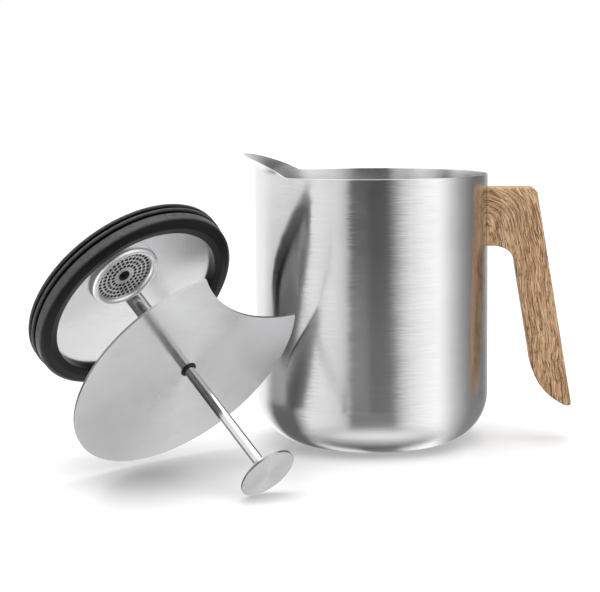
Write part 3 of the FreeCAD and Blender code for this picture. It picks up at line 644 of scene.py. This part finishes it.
foot_middle = (WALL["radius"] - WALL["corner"], WALL["corner"])
outer_side = arc(foot_middle, WALL["corner"], -90, 0, 24)
inner_side = arc(foot_middle, WALL["corner"] - WALL["sheet"], 0, -90, 24)
inner_face = WALL["radius"] - WALL["rim"]
side_heights = [WALL["corner"] + (rim_rings[0] - WALL["corner"]) * k / 6 for k in range(1, 6)]
outline = [(WALL["cap"], 0)] + outer_side
outline += [(WALL["radius"], z) for z in side_heights + rim_rings]
outline += [(inner_face + WALL["taper"] * (z - rim_rings[0]) / WALL["root"], z)
            for z in reversed(rim_rings)]
outline += [(inner_face, WALL["height"] - WALL["band"]),
            (WALL["radius"] - WALL["sheet"], WALL["height"] - WALL["band"] - WALL["rim"])]
outline += inner_side + [(WALL["cap"], WALL["sheet"])]
jug_wall = spin("jug_wall", outline, steps=216)
print("jug wall", len(jug_wall.data.polygons), "faces")

# %% [markdown]
# The spout is the same sheet, drawn up and curled outwards. By hand this would be
# proportional editing at the rim. Here each point near the rim is moved by two parabolas,
# which give the real spout's edge exactly: one sets how high the edge is round the rim,
# and the other sets how far the sheet curls out at a height.

# %% Draw the spout out of the rim
SPOUT = {"rise": 9.7 * MM, "reach": 5.9 * MM, "half": 47.0, "start": 1.5 * MM, "ease": 0.04}
WELL_BESIDE = -0.6


def spout_share(angle):
    """1 at the tip, 0 beyond the spout, with a small easing where it leaves the rim."""
    q = 1 - (angle / SPOUT["half"]) ** 2
    eased = 0.5 * (q + math.sqrt(q * q + SPOUT["ease"] ** 2))
    return eased if q > WELL_BESIDE else 0.0


def draw_spout(piece, root):
    for vertex in piece.data.vertices:
        x, y, z = vertex.co
        angle = math.degrees(math.atan2(y, -x))
        share = spout_share(angle)
        if z <= root or share <= 0:
            continue
        lip = WALL["height"] + SPOUT["rise"] * share
        height = root + (z - root) * (lip - root) / (WALL["height"] - root)
        above = max(height - WALL["height"] - SPOUT["start"], 0)
        curl = SPOUT["reach"] * (above / (SPOUT["rise"] - SPOUT["start"])) ** 2
        radius = math.hypot(x, y)
        vertex.co = (x * (radius + curl) / radius, y * (radius + curl) / radius, height)
    piece.data.update()


draw_spout(jug_wall, rim_rings[0])
soften(jug_wall, 0.18 * MM, segments=3, sharper_than=50)
place(jug_wall)
hand_over(jug_wall, "jug", "jug_steel", jug_steel, "jug_outer_shell")
print("spout tip at", [round(c / MM, 1) for c in min((v.co for v in jug_wall.data.vertices),
                                                    key=lambda c: c.x)])

# %% [markdown]
# ## The jug's inside
#
# The inner shell is welded under the rim band. A short cone leads down to a straight
# bore, where the piston runs, and the floor has a wide corner so that grounds rinse out.

# %% Spin the inner shell
INNER = {"bore": 49.2 * MM, "floor": 8.0 * MM, "corner": 17.0 * MM, "cone": 10.0 * MM}
seat = WALL["height"] - WALL["band"]
sheet = WALL["sheet"]
floor_middle = (INNER["bore"] - INNER["corner"], INNER["floor"] + INNER["corner"])
outline = [(0, INNER["floor"] - sheet)]
outline += arc(floor_middle, INNER["corner"] + sheet, -90, 0, 18)
outline += rounded([(INNER["bore"] + sheet, floor_middle[1]),
                    (INNER["bore"] + sheet, seat - INNER["cone"] - sheet, 3 * MM),
                    (inner_face, seat),
                    (inner_face, seat + 2 * sheet)])[1:]
outline += rounded([(inner_face, seat + 3 * sheet),
                    (inner_face - 0.25 * sheet, seat + 2 * sheet),
                    (inner_face - sheet, seat + 0.4 * sheet, 1.2 * MM),
                    (INNER["bore"], seat - INNER["cone"], 3 * MM),
                    (INNER["bore"], floor_middle[1])])[1:]
outline += arc(floor_middle, INNER["corner"], 0, -90, 18)[1:] + [(0, INNER["floor"])]
turn_piece("jug_lining", "jug_inner_shell", outline, "jug", "inner_steel", inner_steel,
           home=UPRIGHT, steps=144)

# %% [markdown]
# ## The base
#
# A pressed disc closes the foot. Two shallow rings are pressed into it, which stiffen a
# thin disc. They are part of the spun outline.

# %% Spin the base
CAP, CAP_LOW, RING_DEPTH = 0.8 * MM, 0.1 * MM, 0.25 * MM
outline = [(0, CAP_LOW)]
for middle in (12 * MM, 22 * MM):
    outline += [(middle - 1.2 * MM, CAP_LOW), (middle - 0.6 * MM, CAP_LOW + RING_DEPTH),
                (middle + 0.6 * MM, CAP_LOW + RING_DEPTH), (middle + 1.2 * MM, CAP_LOW)]
outline += [(WALL["cap"] - 1.0 * MM, CAP_LOW), (WALL["cap"] - 0.6 * MM, 0), (WALL["cap"], 0),
            (WALL["cap"], CAP), (0, CAP)]
base_disc = place(soften(spin("base_disc", outline), 0.15 * MM, sharper_than=20))
hand_over(base_disc, "jug", "base_steel", base_steel, "jug_base_cap")

# %% [markdown]
# ## The oak handle
#
# The handle is sawn from a board and then sanded round. So its side view is drawn first
# and given the board's thickness, and the long edges are rounded. The end that meets the
# wall stays square, and is hollowed to fit the wall. The tip is cut in a slanting curve.

# %% Draw and saw the handle
GRIP = {"top": 120.0 * MM, "under": 92.8 * MM, "out": 77.4 * MM, "tip": 17.5 * MM,
        "half": 9.0 * MM, "thick": 15.8 * MM, "round": 4.4 * MM}
INSIDE_WALL = 50 * MM
ARM_END, ARM_BULGE = 58.5 * MM, -2.9 * MM
LEG_START = 82.5 * MM
TIP_CUT, TIP_FLAT, TIP_BULGE = 24 * MM, 3 * MM, 4.2 * MM
LEG_SLOPE = 16.6 / 102.5


def leg_outer(z):
    return GRIP["out"] + LEG_SLOPE * (GRIP["top"] - z)


def leg_inner(z):
    return leg_outer(z) - GRIP["thick"]


def bow(start, end, bulge, count):
    """Points between two places on a shallow arc that bulges to the right of the way."""
    start, end = Vector(start), Vector(end)
    aside = Vector((end.y - start.y, start.x - end.x)).normalized() * bulge
    spots = [k / count for k in range(1, count)]
    return [tuple(start.lerp(end, t) + aside * 4 * t * (1 - t)) for t in spots]


leg_top = (leg_inner(LEG_START), LEG_START)
cut_high = (leg_inner(GRIP["tip"] + TIP_CUT), GRIP["tip"] + TIP_CUT)
tip_inner = (leg_outer(GRIP["tip"]) - TIP_FLAT, GRIP["tip"])
corners = [(INSIDE_WALL, GRIP["top"]), (INSIDE_WALL, GRIP["under"]), (ARM_END, GRIP["under"])]
corners += bow(corners[-1], leg_top, ARM_BULGE, 9) + [leg_top, cut_high]
corners += bow(cut_high, tip_inner, TIP_BULGE, 12) + [tip_inner]
corners += rounded([tip_inner, (leg_outer(GRIP["tip"]), GRIP["tip"], 1.2 * MM),
                    (leg_outer(40 * MM), 40 * MM)], 4)[1:-1]
corners += [(leg_outer(z), z) for z in (40 * MM, 62 * MM, 84 * MM, 104 * MM)]
corners += rounded([(leg_outer(60 * MM), 60 * MM), (GRIP["out"], GRIP["top"], 3.4 * MM),
                    (60 * MM, GRIP["top"])], 10)[1:-1]
handle = draw("oak_handle", corners, -GRIP["half"])
bpy.ops.mesh.edge_face_add()
bpy.ops.mesh.extrude_region_move(TRANSFORM_OT_translate={"value": (0, 2 * GRIP["half"], 0)})
face_outwards()
print("sawn handle", len(handle.data.vertices), "points")

# %% [markdown]
# The long edges are picked by their place: they lie on one of the two sawn sides, and
# beyond the wall. Bevel rounds them. Then cutters take wood away with Boolean, for three
# things: the wall itself, the steel bracket that the arm is pushed onto, and the screw
# that holds it from below. A bracket needs two boxes, for its pad and its tongue, and a
# screw two rods, for its head and its shank.

# %% Round the long edges


def pick_edges(piece, wanted):
    """Selects the edges for which wanted(first point, second point) is true."""
    only(piece)
    bpy.ops.object.mode_set(mode="EDIT")
    bpy.ops.mesh.select_mode(type="EDGE")
    bpy.ops.mesh.select_all(action="DESELECT")
    bpy.ops.object.mode_set(mode="OBJECT")
    points = piece.data.vertices
    for edge in piece.data.edges:
        edge.select = wanted(*(points[k].co for k in edge.vertices))
    picked = sum(edge.select for edge in piece.data.edges)
    bpy.ops.object.mode_set(mode="EDIT")
    return picked


def on_side(a, b):
    """True for an edge of a sawn side, unless it is the square end inside the wall."""
    flat = abs(a.y - b.y) < 1e-6 and abs(abs(a.y) - GRIP["half"]) < 1e-6
    return flat and max(a.x, b.x) > INSIDE_WALL + MM


picked = pick_edges(handle, on_side)
bpy.ops.mesh.bevel(offset=GRIP["round"], segments=7, affect="EDGES", profile=0.5,
                   clamp_overlap=True)
bpy.ops.object.mode_set(mode="OBJECT")
print("rounded", picked, "edges")

# %% Cut the saddle, the bracket's recess and the screw hole


def rod_cutter(radius, low, high, middle=(0, 0), sides=96):
    clear_selection()
    bpy.ops.mesh.primitive_cylinder_add(vertices=sides, radius=radius, depth=high - low,
                                        location=(middle[0], middle[1], (low + high) / 2))
    return bpy.context.object


def box_cutter(low, high):
    clear_selection()
    middle = [(a + b) / 2 for a, b in zip(low, high)]
    bpy.ops.mesh.primitive_cube_add(size=1, location=middle,
                                    scale=[b - a for a, b in zip(low, high)])
    return bpy.context.object


def cut(piece, *cutters):
    """Takes the cutters away from the piece, and then deletes them."""
    for cutter in cutters:
        apply(piece, "BOOLEAN", object=cutter, operation="DIFFERENCE", solver="EXACT")
        bpy.data.objects.remove(cutter)
    return piece


GAP = 0.1 * MM
PAST = 5 * MM
PAD_HALF, TONGUE_HALF, PAD_OUT = 7.0 * MM, 3.0 * MM, 56.2 * MM
HEAD_DEPTH, SHANK = 2.3 * MM, 2.0 * MM
bracket_low, bracket_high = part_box("handle_bracket")
screw_low, screw_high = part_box("handle_screw")
screw_middle = ((screw_low.x + screw_high.x) / 2, (screw_low.y + screw_high.y) / 2)
screw_head = (screw_high.x - screw_low.x) / 2
bracket_middle = (bracket_low.z + bracket_high.z) / 2
pad, tongue = PAD_HALF + GAP, TONGUE_HALF + GAP
cut(handle,
    rod_cutter(WALL["radius"] + GAP, 0, 0.2, sides=288),
    box_cutter((INSIDE_WALL, -pad, bracket_low.z - GAP),
               (PAD_OUT + GAP, pad, bracket_high.z + GAP)),
    box_cutter((INSIDE_WALL, -tongue, bracket_middle - pad),
               (bracket_high.x + GAP, tongue, bracket_middle + pad)),
    rod_cutter(screw_head + GAP, screw_low.z - PAST, screw_low.z + HEAD_DEPTH,
               middle=screw_middle),
    rod_cutter(SHANK + GAP, screw_low.z - PAST, screw_high.z + GAP, middle=screw_middle,
               sides=48))
place(handle)
hand_over(handle, "jug", "oak", oak, "handle")

# %% [markdown]
# ## The handle's screw and bracket
#
# The screw's head is countersunk and has a six-sided socket for its key. The bracket is
# almost wholly inside the wood, so its CAD node is kept and only gets a finish.

# %% Make the screw
head_low = screw_low.z
outline = [(0, head_low), (screw_head - 0.15 * MM, head_low), (screw_head, head_low + 0.15 * MM),
           (screw_head, head_low + 0.55 * MM), (SHANK, head_low + 2.2 * MM),
           (SHANK, screw_high.z - 0.3 * MM), (1.7 * MM, screw_high.z), (0, screw_high.z)]
arm_screw = spin("arm_screw", outline, steps=48)
clear_selection()
bpy.ops.mesh.primitive_cylinder_add(vertices=6, radius=1.45 * MM, depth=2.4 * MM,
                                    location=(0, 0, head_low))
cut(arm_screw, bpy.context.object)
arm_screw.location = (screw_middle[0], screw_middle[1], 0)
bpy.context.view_layer.update()
place(arm_screw, arm_screw.matrix_world.copy())
hand_over(arm_screw, "jug", "fixing_steel", screw_steel, "handle_screw")
bracket = frame["nodes"]["handle_bracket"]
bracket.data.materials.clear()
bracket.data.materials.append(screw_steel)

# %% [markdown]
# ## Rod and knob
#
# The rod is turned and polished. Its ends are stepped down for the threads. The knob is a
# thin disc on a short neck, and a fine groove shows where the neck is screwed on.

# %% Turn the rod, neck and knob
THREAD = 2.0 * MM
rod_low, rod_high, _, rod_radius = own_size("plunger_rod")
neck_low, neck_high, _, neck_radius = own_size("knob_neck")
disc_low, disc_high, _, _ = own_size("piston_disc")
outline = rounded([(0, rod_low), (THREAD, rod_low, 0.3 * MM), (THREAD, disc_high),
                   (rod_radius, disc_high), (rod_radius, neck_low, 0.15 * MM),
                   (THREAD, neck_low), (THREAD, rod_high), (0, rod_high)], 3)
turn_piece("steel_rod", "plunger_rod", outline, "plunger", "rod_steel", rod_steel)

neck_bore, collar, groove = THREAD + 0.05 * MM, neck_radius - 0.15 * MM, neck_radius - 0.4 * MM
outline = rounded([(neck_bore, neck_low), (neck_radius - 0.9 * MM, neck_low, 0.1 * MM),
                   (collar, neck_low + 0.6 * MM, 0.25 * MM), (collar, neck_low + 1.5 * MM),
                   (groove, neck_low + 1.62 * MM), (groove, neck_low + 1.78 * MM),
                   (neck_radius, neck_low + 1.9 * MM), (neck_radius, neck_high),
                   (neck_bore, neck_high)], 3)
turn_piece("knob_collar", "knob_neck", outline, "plunger", "lid_steel", rod_steel)

knob_low, knob_high, _, knob_radius = own_size("knob_disc")
outline = rounded([(0, knob_low), (knob_radius - 0.8 * MM, knob_low, 0.3 * MM),
                   (knob_radius, knob_low + 0.6 * MM, 0.3 * MM),
                   (knob_radius, knob_high, 0.3 * MM), (0, knob_high)], 4)
turn_piece("knob", "knob_disc", outline, "plunger", "lid_steel", lid_steel, steps=120)

# %% [markdown]
# ## Lid
#
# The lid is a flat disc of spun sheet with a wide bite out of its rim, where the coffee
# is poured past it. The bite is one large circle, cut away with Boolean. Its depth and
# its direction follow from the deepest point of the CAD rim.

# %% Spin the lid and cut the bite
BITE = 75.0 * MM
lid_low, lid_high, lid_bore, lid_radius = own_size("lid_plate")
rim_points = [Vector((p.x, p.y)) for p in own_points("lid_plate")
              if 2 * lid_bore < math.hypot(p.x, p.y) < lid_radius - 0.1 * MM]
deepest = min(rim_points, key=lambda p: p.length)
bite_middle = deepest.normalized() * (deepest.length + BITE)
lid = spin("lid", tube(lid_low, lid_high, lid_bore, lid_radius), steps=240)
cut(lid, rod_cutter(BITE, lid_low - PAST, lid_high + PAST, middle=bite_middle, sides=600))
soften(lid, 0.42 * MM, segments=4, sharper_than=60)
place(lid, PLUNGER)
hand_over(lid, "lid", "lid_steel", lid_steel, "lid_plate")
print("the bite reaches in to %.1f mm from the rod" % (deepest.length / MM))

# %% [markdown]
# ## The lid's bush
#
# A small black bush lines the hole, and a ring pushed on from below holds it. A raised lip
# with a rounded edge is all that shows from above.

# %% Turn the bush and its ring
SLEEVE = 3.15 * MM
bush_low, bush_high, bush_bore, bush_lip = own_size("lid_bush")
lip_low = lid_high + 0.05 * MM
outline = rounded([(bush_bore, bush_low, 0.1 * MM), (SLEEVE, bush_low, 0.1 * MM),
                   (SLEEVE, lip_low), (bush_lip, lip_low),
                   (bush_lip, bush_high, 0.2 * MM), (bush_bore, bush_high, 0.1 * MM)], 4)
turn_piece("bush", "lid_bush", outline, "bush", "bush_plastic", bush_plastic)
outline = tube(*own_size("bush_retainer"), roundings=(0.1, 0.3, 0, 0))
turn_piece("bush_ring", "bush_retainer", outline, "bush", "bush_plastic", bush_plastic)

# %% [markdown]
# ## Piston
#
# A thin polished disc and a thicker clamp plate sandwich the inner edge of the silicone
# seal. Both have a round opening for the strainer, beside the rod.

# %% Spin the disc and the clamp plate
STRAINER_OPENING = 13.5 * MM


def plate(name, node, material, finish):
    """A round plate with the strainer's opening cut out of it."""
    low, high, bore, radius = own_size(node)
    piece = spin(name, tube(low, high, bore, radius), steps=200)
    cut(piece, rod_cutter(STRAINER_OPENING, low - PAST, high + PAST, middle=strainer_middle,
                          sides=120))
    soften(piece, 0.12 * MM, sharper_than=60)
    place(piece, PLUNGER)
    return hand_over(piece, "plunger", finish, material, node)


plate("piston_plate", "piston_disc", disc_steel, "disc_steel")
plate("back_plate", "clamp_plate", plate_steel, "plate_steel")

# %% [markdown]
# ## Silicone seal
#
# The seal has a broad front face with rounded edges and a smooth wall behind it. Two
# grooves leave two thin lips, which run just inside the jug's bore. Real lips bend and
# touch it, but these are drawn stiff.

# %% Spin the seal
SEAL = {"face": 48.4 * MM, "edge": 46.9 * MM, "dish": 43.4 * MM, "floor": 46.9 * MM,
        "seat": 46.1 * MM, "wall": 5.0 * MM, "groove": 1.5 * MM, "lip": 1.2 * MM}
seal_low, seal_high, seal_inner, seal_lip = own_size("piston_seal")
clamp_low, _, _, clamp_radius = own_size("clamp_plate")
clamp_side = clamp_radius + 0.1 * MM
wall_end = seal_high - SEAL["wall"]
lip_one = wall_end - SEAL["groove"]
lip_one_end = lip_one - SEAL["lip"]
lip_two = lip_one_end - SEAL["groove"]
outline = rounded([
    (seal_inner, disc_high), (SEAL["seat"], disc_high), (SEAL["seat"], disc_low),
    (clamp_side, disc_low), (clamp_side, seal_low, 0.2 * MM),
    (seal_lip, seal_low, 0.45 * MM), (seal_lip, lip_two, 0.45 * MM),
    (SEAL["floor"], lip_two, 0.3 * MM), (SEAL["floor"], lip_one_end, 0.3 * MM),
    (seal_lip, lip_one_end, 0.45 * MM), (seal_lip, lip_one, 0.45 * MM),
    (SEAL["floor"], lip_one, 0.3 * MM), (SEAL["floor"], wall_end, 0.3 * MM),
    (SEAL["face"], wall_end, 0.4 * MM), (SEAL["face"], seal_high - 1.3 * MM, 0.9 * MM),
    (SEAL["edge"], seal_high - 0.2 * MM, 1.8 * MM), (SEAL["dish"], seal_high, 3.0 * MM),
    (seal_inner, seal_high - 0.6 * MM, 0.5 * MM)], 4)
turn_piece("seal", "piston_seal", outline, "plunger", "silicone", silicone, steps=200)

# %% [markdown]
# ## Rod socket, washer and nut
#
# The rod stands in a short turned boss. Behind the piston a washer and a nut hold it all
# together. The nut is a six-sided bar, so a cylinder with six sides is turned down at its
# corners by cutting it with a cone-ended outline.

# %% Turn the socket and washer
outline = tube(*own_size("rod_socket"), roundings=(0, 0, 0.5, 0.1), pieces=5)
turn_piece("socket", "rod_socket", outline, "plunger", "rod_steel", rod_steel, steps=72)
outline = tube(*own_size("rod_washer"), roundings=(0, 0.2, 0.1, 0), pieces=3)
turn_piece("washer", "rod_washer", outline, "plunger", "fixing_steel", fixing_steel)

# %% Make the nut
HALF_SIDE = math.radians(30)
nut_low, nut_high, nut_bore, nut_corner = own_size("rod_nut")
clear_selection()
bpy.ops.mesh.primitive_cylinder_add(vertices=6, radius=nut_corner, depth=nut_high - nut_low,
                                    location=(0, 0, (nut_low + nut_high) / 2),
                                    rotation=(0, 0, HALF_SIDE))
nut = bpy.context.object
nut.name = "nut"
bpy.ops.object.transform_apply(location=True, rotation=True, scale=True)
nut_flat, nut_top = nut_corner * math.cos(HALF_SIDE), nut_high - 0.1 * MM
blank = spin("nut_blank", [(0, nut_low), (nut_flat, nut_low), (nut_corner, nut_low + 0.55 * MM),
                           (nut_corner, nut_top), (0, nut_top)])
apply(nut, "BOOLEAN", object=blank, operation="INTERSECT", solver="EXACT")
bpy.data.objects.remove(blank)
cut(nut, rod_cutter(nut_bore, nut_low - MM, nut_high + MM, sides=48))
place(nut, PLUNGER)
hand_over(nut, "plunger", "fixing_steel", fixing_steel, "rod_nut")

# %% [markdown]
# ## Strainer
#
# A rounded ring frames a thin disc with rings of small holes, and a fine mesh lies behind
# the disc. The holes are real holes. One cutter is made, copied round each ring, joined
# into one object and taken away with a single Boolean, which is quicker than many.

# %% Turn the strainer's ring
MOUTH, RING_INNER = 12.9 * MM, 13.55 * MM
plate_seat = own_size("strainer_disc", STRAINER)[1]
low, high, _, outer = own_size("strainer_ring", STRAINER)
crown = (outer - MOUTH) / 2
outline = [(RING_INNER, low), (outer, low)]
outline += arc(((outer + MOUTH) / 2, high - crown), crown, 0, 180, 16)
outline += [(MOUTH, plate_seat), (RING_INNER, plate_seat)]
turn_piece("strainer_frame", "strainer_ring", outline, "plunger", "rod_steel", ring_steel,
           home=STRAINER, steps=120)

# %% Pierce the strainer's disc
low, high, hub, radius = own_size("strainer_disc", STRAINER)
strainer_plate = spin("strainer_plate", tube(low, high, hub, radius))
HOLE = 0.8 * MM
HOLE_RINGS = [(5.6, 18), (7.7, 24), (9.8, 30), (11.9, 36)]
spots = []
for ring_radius, count in HOLE_RINGS:
    for step in range(count):
        turn = 2 * math.pi * step / count
        spots.append((ring_radius * MM * math.cos(turn), ring_radius * MM * math.sin(turn)))
pin = rod_cutter(HOLE, low - MM, high + MM, middle=spots[0], sides=14)
pins = [pin]
for spot in spots[1:]:
    copy = pin.copy()
    copy.data = pin.data.copy()
    copy.location.xy = spot
    bpy.context.scene.collection.objects.link(copy)
    pins.append(copy)
bpy.context.view_layer.update()
only(pin)
for copy in pins:
    copy.select_set(True)
bpy.ops.object.join()
bpy.ops.object.transform_apply(location=True, rotation=True, scale=True)
cut(strainer_plate, pin)
place(strainer_plate, STRAINER)
hand_over(strainer_plate, "plunger", "strainer_steel", strainer_steel, "strainer_disc")
print("holes", len(spots))

# %% Mesh, plug and retainer
low, high, hub, radius = own_size("strainer_mesh", STRAINER)
mesh_under = low
turn_piece("mesh_disc", "strainer_mesh", tube(low, high, hub, radius), "plunger", "mesh_steel",
           mesh_steel, home=STRAINER, steps=96)

PLUG_FOOT, PLUG_STEM = 2.2 * MM, 1.2 * MM
low, high, _, head = own_size("strainer_plug", STRAINER)
outline = rounded([(0, low), (PLUG_FOOT, low, 0.3 * MM), (PLUG_FOOT, mesh_under, 0.1 * MM),
                   (PLUG_STEM, mesh_under), (PLUG_STEM, plate_seat)], 4)
outline += [(head * x, plate_seat + (high - plate_seat) * y)
            for x, y in arc((0, 0), 1.0, 0, 90, 8)]
turn_piece("plug", "strainer_plug", outline, "plunger", "silicone", silicone,
           home=STRAINER, steps=48)

RETAINER_SLEEVE = 13.45 * MM
low, high, bore, radius = own_size("strainer_retainer", STRAINER)
outline = rounded([(bore, low, 0.15 * MM), (radius, low, 0.3 * MM), (radius, clamp_low, 0.1 * MM),
                   (RETAINER_SLEEVE, clamp_low), (RETAINER_SLEEVE, high), (bore, high)], 3)
turn_piece("retainer", "strainer_retainer", outline, "plunger", "plate_steel", plate_steel,
           home=STRAINER, steps=96)

# %% [markdown]
# ## Table, light and camera
#
# Polished steel shows what stands round it, so the light is mostly a surrounding. The
# table is plain and pale to the camera. To the mirror rays that leave the steel it has
# painted light and shade:
#
# - a painted glow, so the steel above it isn't dark from below;
# - painted shade where the jug stands, and on a second bounce under the raised piston;
# - it lets rays through at a slant, beside the jug and near its foot, so that they see the
#   surrounding walls and the reflections run on down to the foot.

# %% A pale table
PALE, PISTON_SHADE, FOOT_SHADE = (0.86, 0.86, 0.86), (0.14, 0.14, 0.14), (0.2, 0.2, 0.2)
GLOW_ONCE, GLOW_TWICE = 0.38, 0.9


def as_mirrored(board, shader):
    """Sets how mirror rays see the table, and gives the share of them that pass it."""
    path = board.add("ShaderNodeLightPath").outputs
    mirrored = path["Is Glossy Ray"]
    twice = board.times(board.math("GREATER_THAN", path["Ray Depth"], 1.5), mirrored)
    spot = board.add("ShaderNodeTexCoord").outputs["Object"]
    side, from_jug = board.parts(spot), board.vector("LENGTH", spot)
    # Painted shade: under the piston, and where the jug stands, the table is darker to mirror rays.
    under = board.times(board.spread(side[0], -55 * MM, -75 * MM),
                        board.spread(side[1], -35 * MM, -55 * MM))
    foot_shade_area = board.times(board.spread(from_jug, 54 * MM, 44 * MM), mirrored)
    shade = board.tint(board.times(twice, under), PALE, PISTON_SHADE)
    shade = board.tint(board.times(foot_shade_area, 0.7), shade, FOOT_SHADE)
    board.tree.links.new(shade, shader.inputs["Base Color"])
    # Everywhere else it has a painted glow, which only mirror rays see.
    once = board.times(board.math("SUBTRACT", mirrored, twice), board.rest(foot_shade_area))
    lit = board.times(twice, board.rest(under))
    glow = board.math("ADD", board.times(once, GLOW_ONCE), board.times(lit, GLOW_TWICE))
    shader.inputs["Emission Color"].default_value = (1, 1, 1, 1)
    board.tree.links.new(glow, shader.inputs["Emission Strength"])
    # Rays pass it at a slant, and beside the jug and near its foot unless they fall straight.
    slant = board.add("ShaderNodeLayerWeight", {"Blend": 0.5}).outputs["Facing"]
    near = board.spread(path["Ray Length"], 110 * MM, 80 * MM)
    right = board.spread(side[0], -35 * MM, 5 * MM)
    foot = board.times(near, board.spread(from_jug, 170 * MM, 120 * MM))
    straight = board.times(near, board.spread(slant, 0.26, 0.05))
    beside = board.times(board.math("MAXIMUM", right, foot), board.rest(straight))
    clear = board.math("MAXIMUM", board.spread(slant, 0.45, 0.8), beside)
    return board.times(board.math("SUBTRACT", mirrored, board.times(twice, 0.85)), clear)


def table(name, size, thickness_below, clear_in_mirrors):
    """A pale square sheet of a size, so far below the ground."""
    clear_selection()
    bpy.ops.mesh.primitive_plane_add(size=size, location=(0, 0, -thickness_below))
    floor = bpy.context.object
    floor.name = name
    material = bpy.data.materials.new(name)
    material.use_nodes = True
    board = Board(material.node_tree)
    shader = material.node_tree.nodes["Principled BSDF"]
    shader.inputs["Base Color"].default_value = (*PALE, 1)
    shader.inputs["Roughness"].default_value = 0.3
    shader.inputs["Specular IOR Level"].default_value = 0.3
    if clear_in_mirrors:
        clear = as_mirrored(board, shader)
        nothing = board.add("ShaderNodeBsdfTransparent").outputs[0]
        mix = board.add("ShaderNodeMixShader", {0: clear, 1: shader.outputs[0], 2: nothing})
        output = next(n for n in material.node_tree.nodes if n.type == "OUTPUT_MATERIAL")
        board.tree.links.new(mix.outputs[0], output.inputs["Surface"])
    floor.data.materials.append(material)
    floor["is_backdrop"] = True
    return floor


table("table_top", 1.3, 0.0, True)
far_table = table("floor_beyond", 12.0, 0.4 * MM, False)
for ray in ("visible_glossy", "visible_diffuse", "visible_shadow"):
    setattr(far_table, ray, False)

# %% [markdown]
# The World shader makes the surrounding from the direction alone. WALLS lists how bright
# it is at an angle round the jug: 0 is towards the camera, where a dark gap is left, and
# 90 is to the right. Below the horizon the angle is measured from the back of the circle
# and doubled, so that the same walls run straight down in the jug's rounded foot. There a
# weak light fills the dark gap, the walls fade towards the ground, and on the left is a
# darker patch, as if the plunger stood in the way. Above the walls is a pale ceiling with
# a softbox. The camera itself sees plain white, which keeps the background clean.

# %% Surrounding light
WALLS = [(-180, 0.85), (-150, 1.20), (-110, 1.30), (-72, 1.26), (-47, 1.18), (-31, 1.02),
         (-22, 0.76), (-16, 0.11), (-8, 0.04), (7, 0.04), (17, 0.07), (24, 0.40), (33, 0.90),
         (41, 1.17), (54, 1.42), (70, 1.54), (79, 1.24), (87, 0.92), (99, 0.57), (110, 0.36),
         (123, 0.22), (143, 0.26), (180, 0.85)]
BRIGHTEST = 1.6
CEILING, CEILING_SHARE = 1.25, 0.55
SOFTBOX = 3.3
LOW_LIGHT = 0.31
PATCH = {"turn": -96, "outer": 34, "inner": 15, "depth": 0.86}
world = bpy.data.worlds.new("studio")
bpy.context.scene.world = world
world.use_nodes = True
world.node_tree.nodes.clear()
board = Board(world.node_tree)
way = board.parts(board.add("ShaderNodeTexCoord").outputs["Generated"])
height = way[2]
level = board.math("ARCTAN2", way[0], board.times(way[1], -1.0))
sunk = board.times(board.math("ARCTAN2", way[0], board.rest(way[1])), 2.0)
turned = board.mix(board.spread(height, 0.0, -0.05), level, sunk)
ramp = board.add("ShaderNodeValToRGB",
                 {0: board.math("ADD", board.math("DIVIDE", turned, 2 * math.pi), 0.5)})
stops = ramp.color_ramp.elements
for index, (degrees, strength) in enumerate(WALLS):
    at, value = degrees / 360 + 0.5, strength / BRIGHTEST
    stop = stops[index] if index < 2 else stops.new(at)
    stop.position = at
    stop.color = (value, value, value, 1)
walls = board.times(ramp.outputs["Color"], BRIGHTEST)
walls = board.math("MAXIMUM", walls, board.spread(height, -0.05, -0.19, 0.0, LOW_LIGHT))
walls = board.times(walls, board.spread(height, -0.72, -0.96, 1.0, 0.12))
off_patch = board.math("ABSOLUTE", board.math("SUBTRACT", turned, math.radians(PATCH["turn"])))
patch = board.times(board.spread(off_patch, math.radians(PATCH["outer"]),
                                 math.radians(PATCH["inner"])),
                    board.spread(height, -0.08, -0.17, 0.0, PATCH["depth"]))
walls = board.times(walls, board.rest(patch))
above = board.mix(CEILING_SHARE, CEILING, walls)
light = board.mix(board.spread(height, 0.45, 0.70), walls, above)
light = board.mix(board.spread(height, 0.78, 0.88), light, SOFTBOX)
seen = board.add("ShaderNodeLightPath").outputs["Is Camera Ray"]
glow = board.add("ShaderNodeBackground", {"Color": (1, 1, 1, 1),
                                          "Strength": board.mix(seen, light, 1.0)})
board.tree.links.new(glow.outputs[0], board.add("ShaderNodeOutputWorld").inputs["Surface"])
bpy.context.scene.view_settings.view_transform = "Standard"
print("walls in", len(WALLS), "steps")

# %% Camera
CAMERA = {"place": (25.66 * MM, -740.33 * MM, 164.3 * MM), "down": 0.083, "roll": -0.007,
          "turn": math.radians(4.6), "lens": 93.8, "sensor": 36.0, "shift": -72.2 / 600}
camera_data = bpy.data.cameras.new("camera")
camera_data.lens = CAMERA["lens"]
camera_data.sensor_width = CAMERA["sensor"]
camera_data.shift_y = CAMERA["shift"]
camera_data.clip_start = 0.01
camera = bpy.data.objects.new("camera", camera_data)
bpy.context.scene.collection.objects.link(camera)
aim = (Matrix.Rotation(CAMERA["turn"], 4, "Z")
       @ Matrix.Rotation(math.pi / 2 - CAMERA["down"], 4, "X")
       @ Matrix.Rotation(CAMERA["roll"], 4, "Z"))
camera.matrix_world = Matrix.Translation(CAMERA["place"]) @ aim
bpy.context.scene.camera = camera

# %% [markdown]
# ## Hand over
#
# The CAD model's box and the visual model's box are kept side by side, so that a shape
# that grew past its real size is noticed.

# %% Sizes and the end
visual_low, visual_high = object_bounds()
sizes = {"cad": [list(cad_low), list(cad_high)], "visual": [list(visual_low), list(visual_high)]}
for kind, (low, high) in sizes.items():
    print(kind, [round(v / MM, 1) for v in (*low, *high)])
